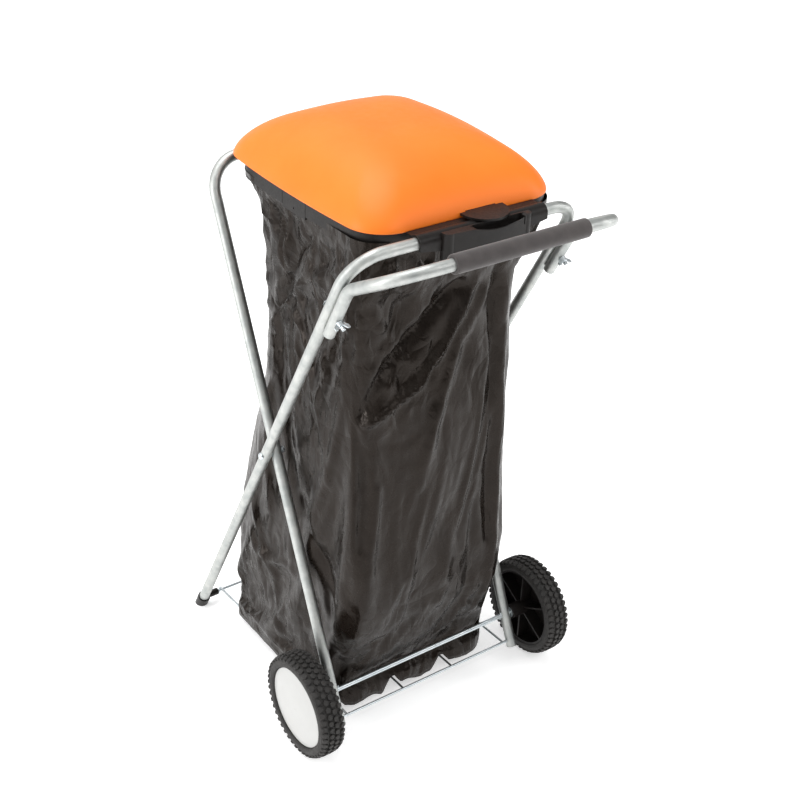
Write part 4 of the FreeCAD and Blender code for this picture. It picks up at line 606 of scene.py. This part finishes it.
sack = bmesh.new()
ring = list(bmesh.ops.create_circle(sack, cap_ends=False, segments=4 * (side_steps + corner_steps),
                                    radius=0.2)["verts"])
for row in range(sack_rows):
    z = sack_top - row / (sack_rows - 1) * (sack_top - sack_foot)
    if row:
        ring = next_ring(sack, ring)
    for v, (x, y) in zip(ring, rounded_ring(*level(z))):
        base_z = slack_base(x, y)
        gathered = base_z + (z - sack_foot) * (gather_top - base_z) / (gather_top - sack_foot)
        v.co = (x, y, z if z > gather_top else gathered)
foot = [v.co.copy() for v in ring]
middle = sum(foot, Vector()) / len(foot)
for row in range(base_rows):
    ring = next_ring(sack, ring)
    share = 1 - (row + 1) / (base_rows + 1)
    for v, start in zip(ring, foot):
        flat = middle.lerp(start, share)
        v.co = (flat.x, flat.y, slack_base(flat.x, flat.y))
bmesh.ops.pointmerge(sack, verts=ring, merge_co=middle)
bmesh.ops.recalc_face_normals(sack, faces=sack.faces)
sack.verts.index_update()

# Large folds of the film: how far out, half width, then points down the fold, first those in front.
front_folds = (
    (-0.021, 0.011, (0.018, 0.801), (-0.037, 0.747), (-0.085, 0.699), (-0.121, 0.669), (-0.148, 0.609)),
    (0.016, 0.008, (0.045, 0.800), (0.024, 0.752), (-0.006, 0.706), (-0.053, 0.651), (-0.120, 0.614),
     (-0.150, 0.600)),
    (0.008, 0.010, (0.088, 0.797), (0.025, 0.695), (-0.001, 0.633), (-0.028, 0.555), (-0.045, 0.470)),
    (-0.014, 0.008, (0.090, 0.870), (0.095, 0.792), (0.101, 0.687), (0.101, 0.602), (0.108, 0.430),
     (0.112, 0.300)),
    (0.008, 0.010, (0.113, 0.870), (0.118, 0.700), (0.120, 0.500), (0.128, 0.300), (0.130, 0.160)),
    (0.008, 0.011, (-0.110, 0.860), (-0.136, 0.817), (-0.156, 0.739)),
    (-0.010, 0.010, (-0.140, 0.554), (-0.146, 0.452), (-0.152, 0.380)),
    (0.007, 0.009, (-0.118, 0.480), (-0.132, 0.400), (-0.148, 0.300), (-0.154, 0.200)),
    (0.005, 0.012, (-0.050, 0.430), (-0.070, 0.120)),
    (0.005, 0.012, (0.030, 0.480), (0.016, 0.150)),
    (-0.006, 0.012, (0.072, 0.380), (0.082, 0.120)),
    (-0.006, 0.012, (-0.070, 0.800), (-0.100, 0.740), (-0.130, 0.700)),
)
left_folds = (
    (-0.018, 0.011, (-0.039, 0.891), (0.021, 0.830), (0.068, 0.753), (0.084, 0.717)),
    (0.011, 0.008, (-0.010, 0.815), (0.050, 0.750), (0.100, 0.682), (0.107, 0.592), (0.112, 0.520)),
    (0.012, 0.010, (0.015, 0.783), (-0.050, 0.815), (-0.100, 0.851)),
    (-0.009, 0.009, (0.020, 0.755), (-0.040, 0.775), (-0.090, 0.800)),
    (0.009, 0.007, (0.094, 0.880), (0.101, 0.748)),
    (0.009, 0.007, (0.065, 0.880), (0.073, 0.789)),
    (0.009, 0.007, (0.040, 0.883), (0.050, 0.785)),
    (-0.008, 0.007, (0.080, 0.880), (0.086, 0.770)),
    (0.008, 0.007, (0.122, 0.880), (0.132, 0.700)),
    (0.009, 0.007, (0.068, 0.739), (0.022, 0.711), (-0.001, 0.673), (-0.020, 0.600)),
    (0.009, 0.009, (0.110, 0.560), (0.122, 0.450), (0.100, 0.330)),
    (-0.010, 0.010, (0.040, 0.640), (0.062, 0.510), (0.030, 0.420)),
    (0.008, 0.010, (-0.050, 0.710), (-0.030, 0.590), (-0.062, 0.470)),
    (0.009, 0.010, (0.160, 0.250), (0.137, 0.222), (0.026, 0.242)),
    (0.009, 0.010, (0.170, 0.330), (0.090, 0.190), (0.060, 0.100)),
    (-0.010, 0.011, (0.010, 0.400), (-0.060, 0.310), (-0.105, 0.255)),
    (0.009, 0.010, (-0.010, 0.330), (-0.070, 0.210), (-0.095, 0.100)),
)


def near_line(point, line):
    """Distance to a bent line and how far along it, from 0 to 1."""
    nearest, at = math.inf, 0.0
    for i, (begin, end) in enumerate(zip(line, line[1:])):
        run = end - begin
        along = max(0.0, min(1.0, (point - begin).dot(run) / run.length_squared))
        distance = (point - (begin + run * along)).length
        if distance < nearest:
            nearest, at = distance, (i + along) / (len(line) - 1)
    return nearest, at


def ridged(at):
    """Noise with sharp crests: 0.4 along a crest, falling away on both sides."""
    return 0.4 - 2 * abs(noise.noise(at))


def fold_lines(folds):
    """Folds with the points of their lines as vectors."""
    return [(depth, reach, [Vector(point) for point in line]) for depth, reach, *line in folds]


def fold_height(flat, folds):
    """How far the large folds of one side lift the film at a point of that side."""
    lift = 0.0
    for depth, reach, line in folds:
        distance, at = near_line(flat, line)
        if distance < 4 * reach:
            fading = math.sin(math.pi * (0.12 + 0.76 * at)) ** 0.5
            lift += depth * math.exp(-(distance / reach) ** 1.6) * fading
    return lift


front_folds, left_folds = fold_lines(front_folds), fold_lines(left_folds)
sack.normal_update()
if sum(v.normal.x for v in sack.verts if v.co.x > 0.14) < 0:
    bmesh.ops.reverse_faces(sack, faces=sack.faces)
    sack.normal_update()
folded, crumples = [], []
for v in sack.verts:
    p, n = v.co, v.normal
    out = 0.0
    in_front = n.y < -0.6
    if in_front:
        out = fold_height(Vector((p.x, p.z)), front_folds)
    elif n.x < -0.5:
        out = fold_height(Vector((p.y, p.z)), left_folds)
    hung = part_way(p.z, held_above, -0.03) * max(0.25, part_way(p.z, 0.03, 0.06))
    near_top = part_way(p.z, 0.52, 0.15)
    if in_front and p.x >= -0.02:
        near_top *= 0.3
    crumpled = 0.25 + 0.75 * near_top + 0.35 * part_way(p.z, 0.30, -0.12)
    out += 0.0075 * crumpled * ridged(Vector((p.x * 17, p.y * 17, p.z * 8)))
    out += 0.0035 * crumpled * ridged(Vector((p.x * 42 + 3, p.y * 42 + 7, p.z * 22)))
    out += 0.0040 * ridged(Vector((p.x * 15 + 9, p.y * 15, p.z * 2.2)))
    folded.append(p + n * out * hung)
    at_foot = part_way(p.z, 0.12, -0.05)
    crumples.append(min(1.0, max(at_foot, crumpled - 0.2)))

# The wheel frame's legs run close by on both sides and hold the film in, and the axle in front.
leg_foot, leg_top = Vector((-0.1278, 0.0900)), Vector((0.2240, 0.8600))
inside_legs, between_legs, leg_reach = 0.1740, 0.1890, 0.016
behind_axle, axle_reach = -0.1205, 0.125
for v, p in zip(sack.verts, folded):
    gap, _ = near_line(Vector((p.y, p.z)), [leg_foot, leg_top])
    limit = min(between_legs, inside_legs + max(0.0, gap - leg_reach) * 0.8)
    p.x = math.copysign(min(abs(p.x), limit), p.x)
    if p.z < axle_reach:
        p.y = max(p.y, behind_axle)
    v.co = p

bag_mesh = bpy.data.meshes.new("bag_film")
sack.to_mesh(bag_mesh)
sack.free()
bag = bpy.data.objects.new("bag_film", bag_mesh)
scene.collection.objects.link(bag)


def settle(piece, frames, slack, cap):
    """Lets the film, cut larger than its first shape by the slack, buckle under its own weight."""
    fixed = piece.vertex_groups.new(name="held")
    held = [v.index for v in piece.data.vertices if v.co.z > held_above]
    rest_on = [v.index for v in piece.data.vertices if v.co.z < base_height(v.co.y) + 0.002]
    fixed.add(held, 1.0, "REPLACE")
    fixed.add(rest_on, 0.6, "REPLACE")
    piece.shape_key_add(name="Basis")
    cut = piece.shape_key_add(name="cut")
    for point in cut.data:
        x, y, z = point.co
        point.co = (x * (1 + slack), y * (1 + slack), z * (1 + slack * 0.5))
    cloth = piece.modifiers.new("film", "CLOTH")
    cloth.settings.quality = 4
    cloth.settings.mass = 0.1
    cloth.settings.tension_stiffness = 20
    cloth.settings.compression_stiffness = 20
    cloth.settings.shear_stiffness = 8
    cloth.settings.bending_stiffness = 0.05
    cloth.settings.air_damping = 2
    cloth.settings.vertex_group_mass = "held"
    cloth.settings.rest_shape_key = cut
    cloth.settings.effector_weights.gravity = 0.4
    cloth.collision_settings.use_collision = False
    cloth.collision_settings.use_self_collision = False
    cloth.point_cache.frame_start, cloth.point_cache.frame_end = 1, frames
    for moment in range(1, frames + 1):
        scene.frame_set(moment)
    shown = piece.evaluated_get(bpy.context.evaluated_depsgraph_get()).to_mesh()
    settled = [v.co.copy() for v in shown.vertices]
    piece.modifiers.remove(cloth)
    piece.shape_key_clear()
    scene.frame_set(1)
    for v, to in zip(piece.data.vertices, settled):
        move = to - v.co
        if move.length > 1e-6:
            v.co += move * (cap * math.tanh(move.length / cap) / move.length)


settle(bag, frames=22, slack=0.035, cap=0.012)
bag_mesh.polygons.foreach_set("use_smooth", [True] * len(bag_mesh.polygons))
bag_mesh.materials.append(film)
bag_mesh.attributes.new("crumple", "FLOAT", "POINT").data.foreach_set("value", crumples)
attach(bag, "foot_frame")
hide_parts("bag")
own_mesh(bag)

low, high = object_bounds()
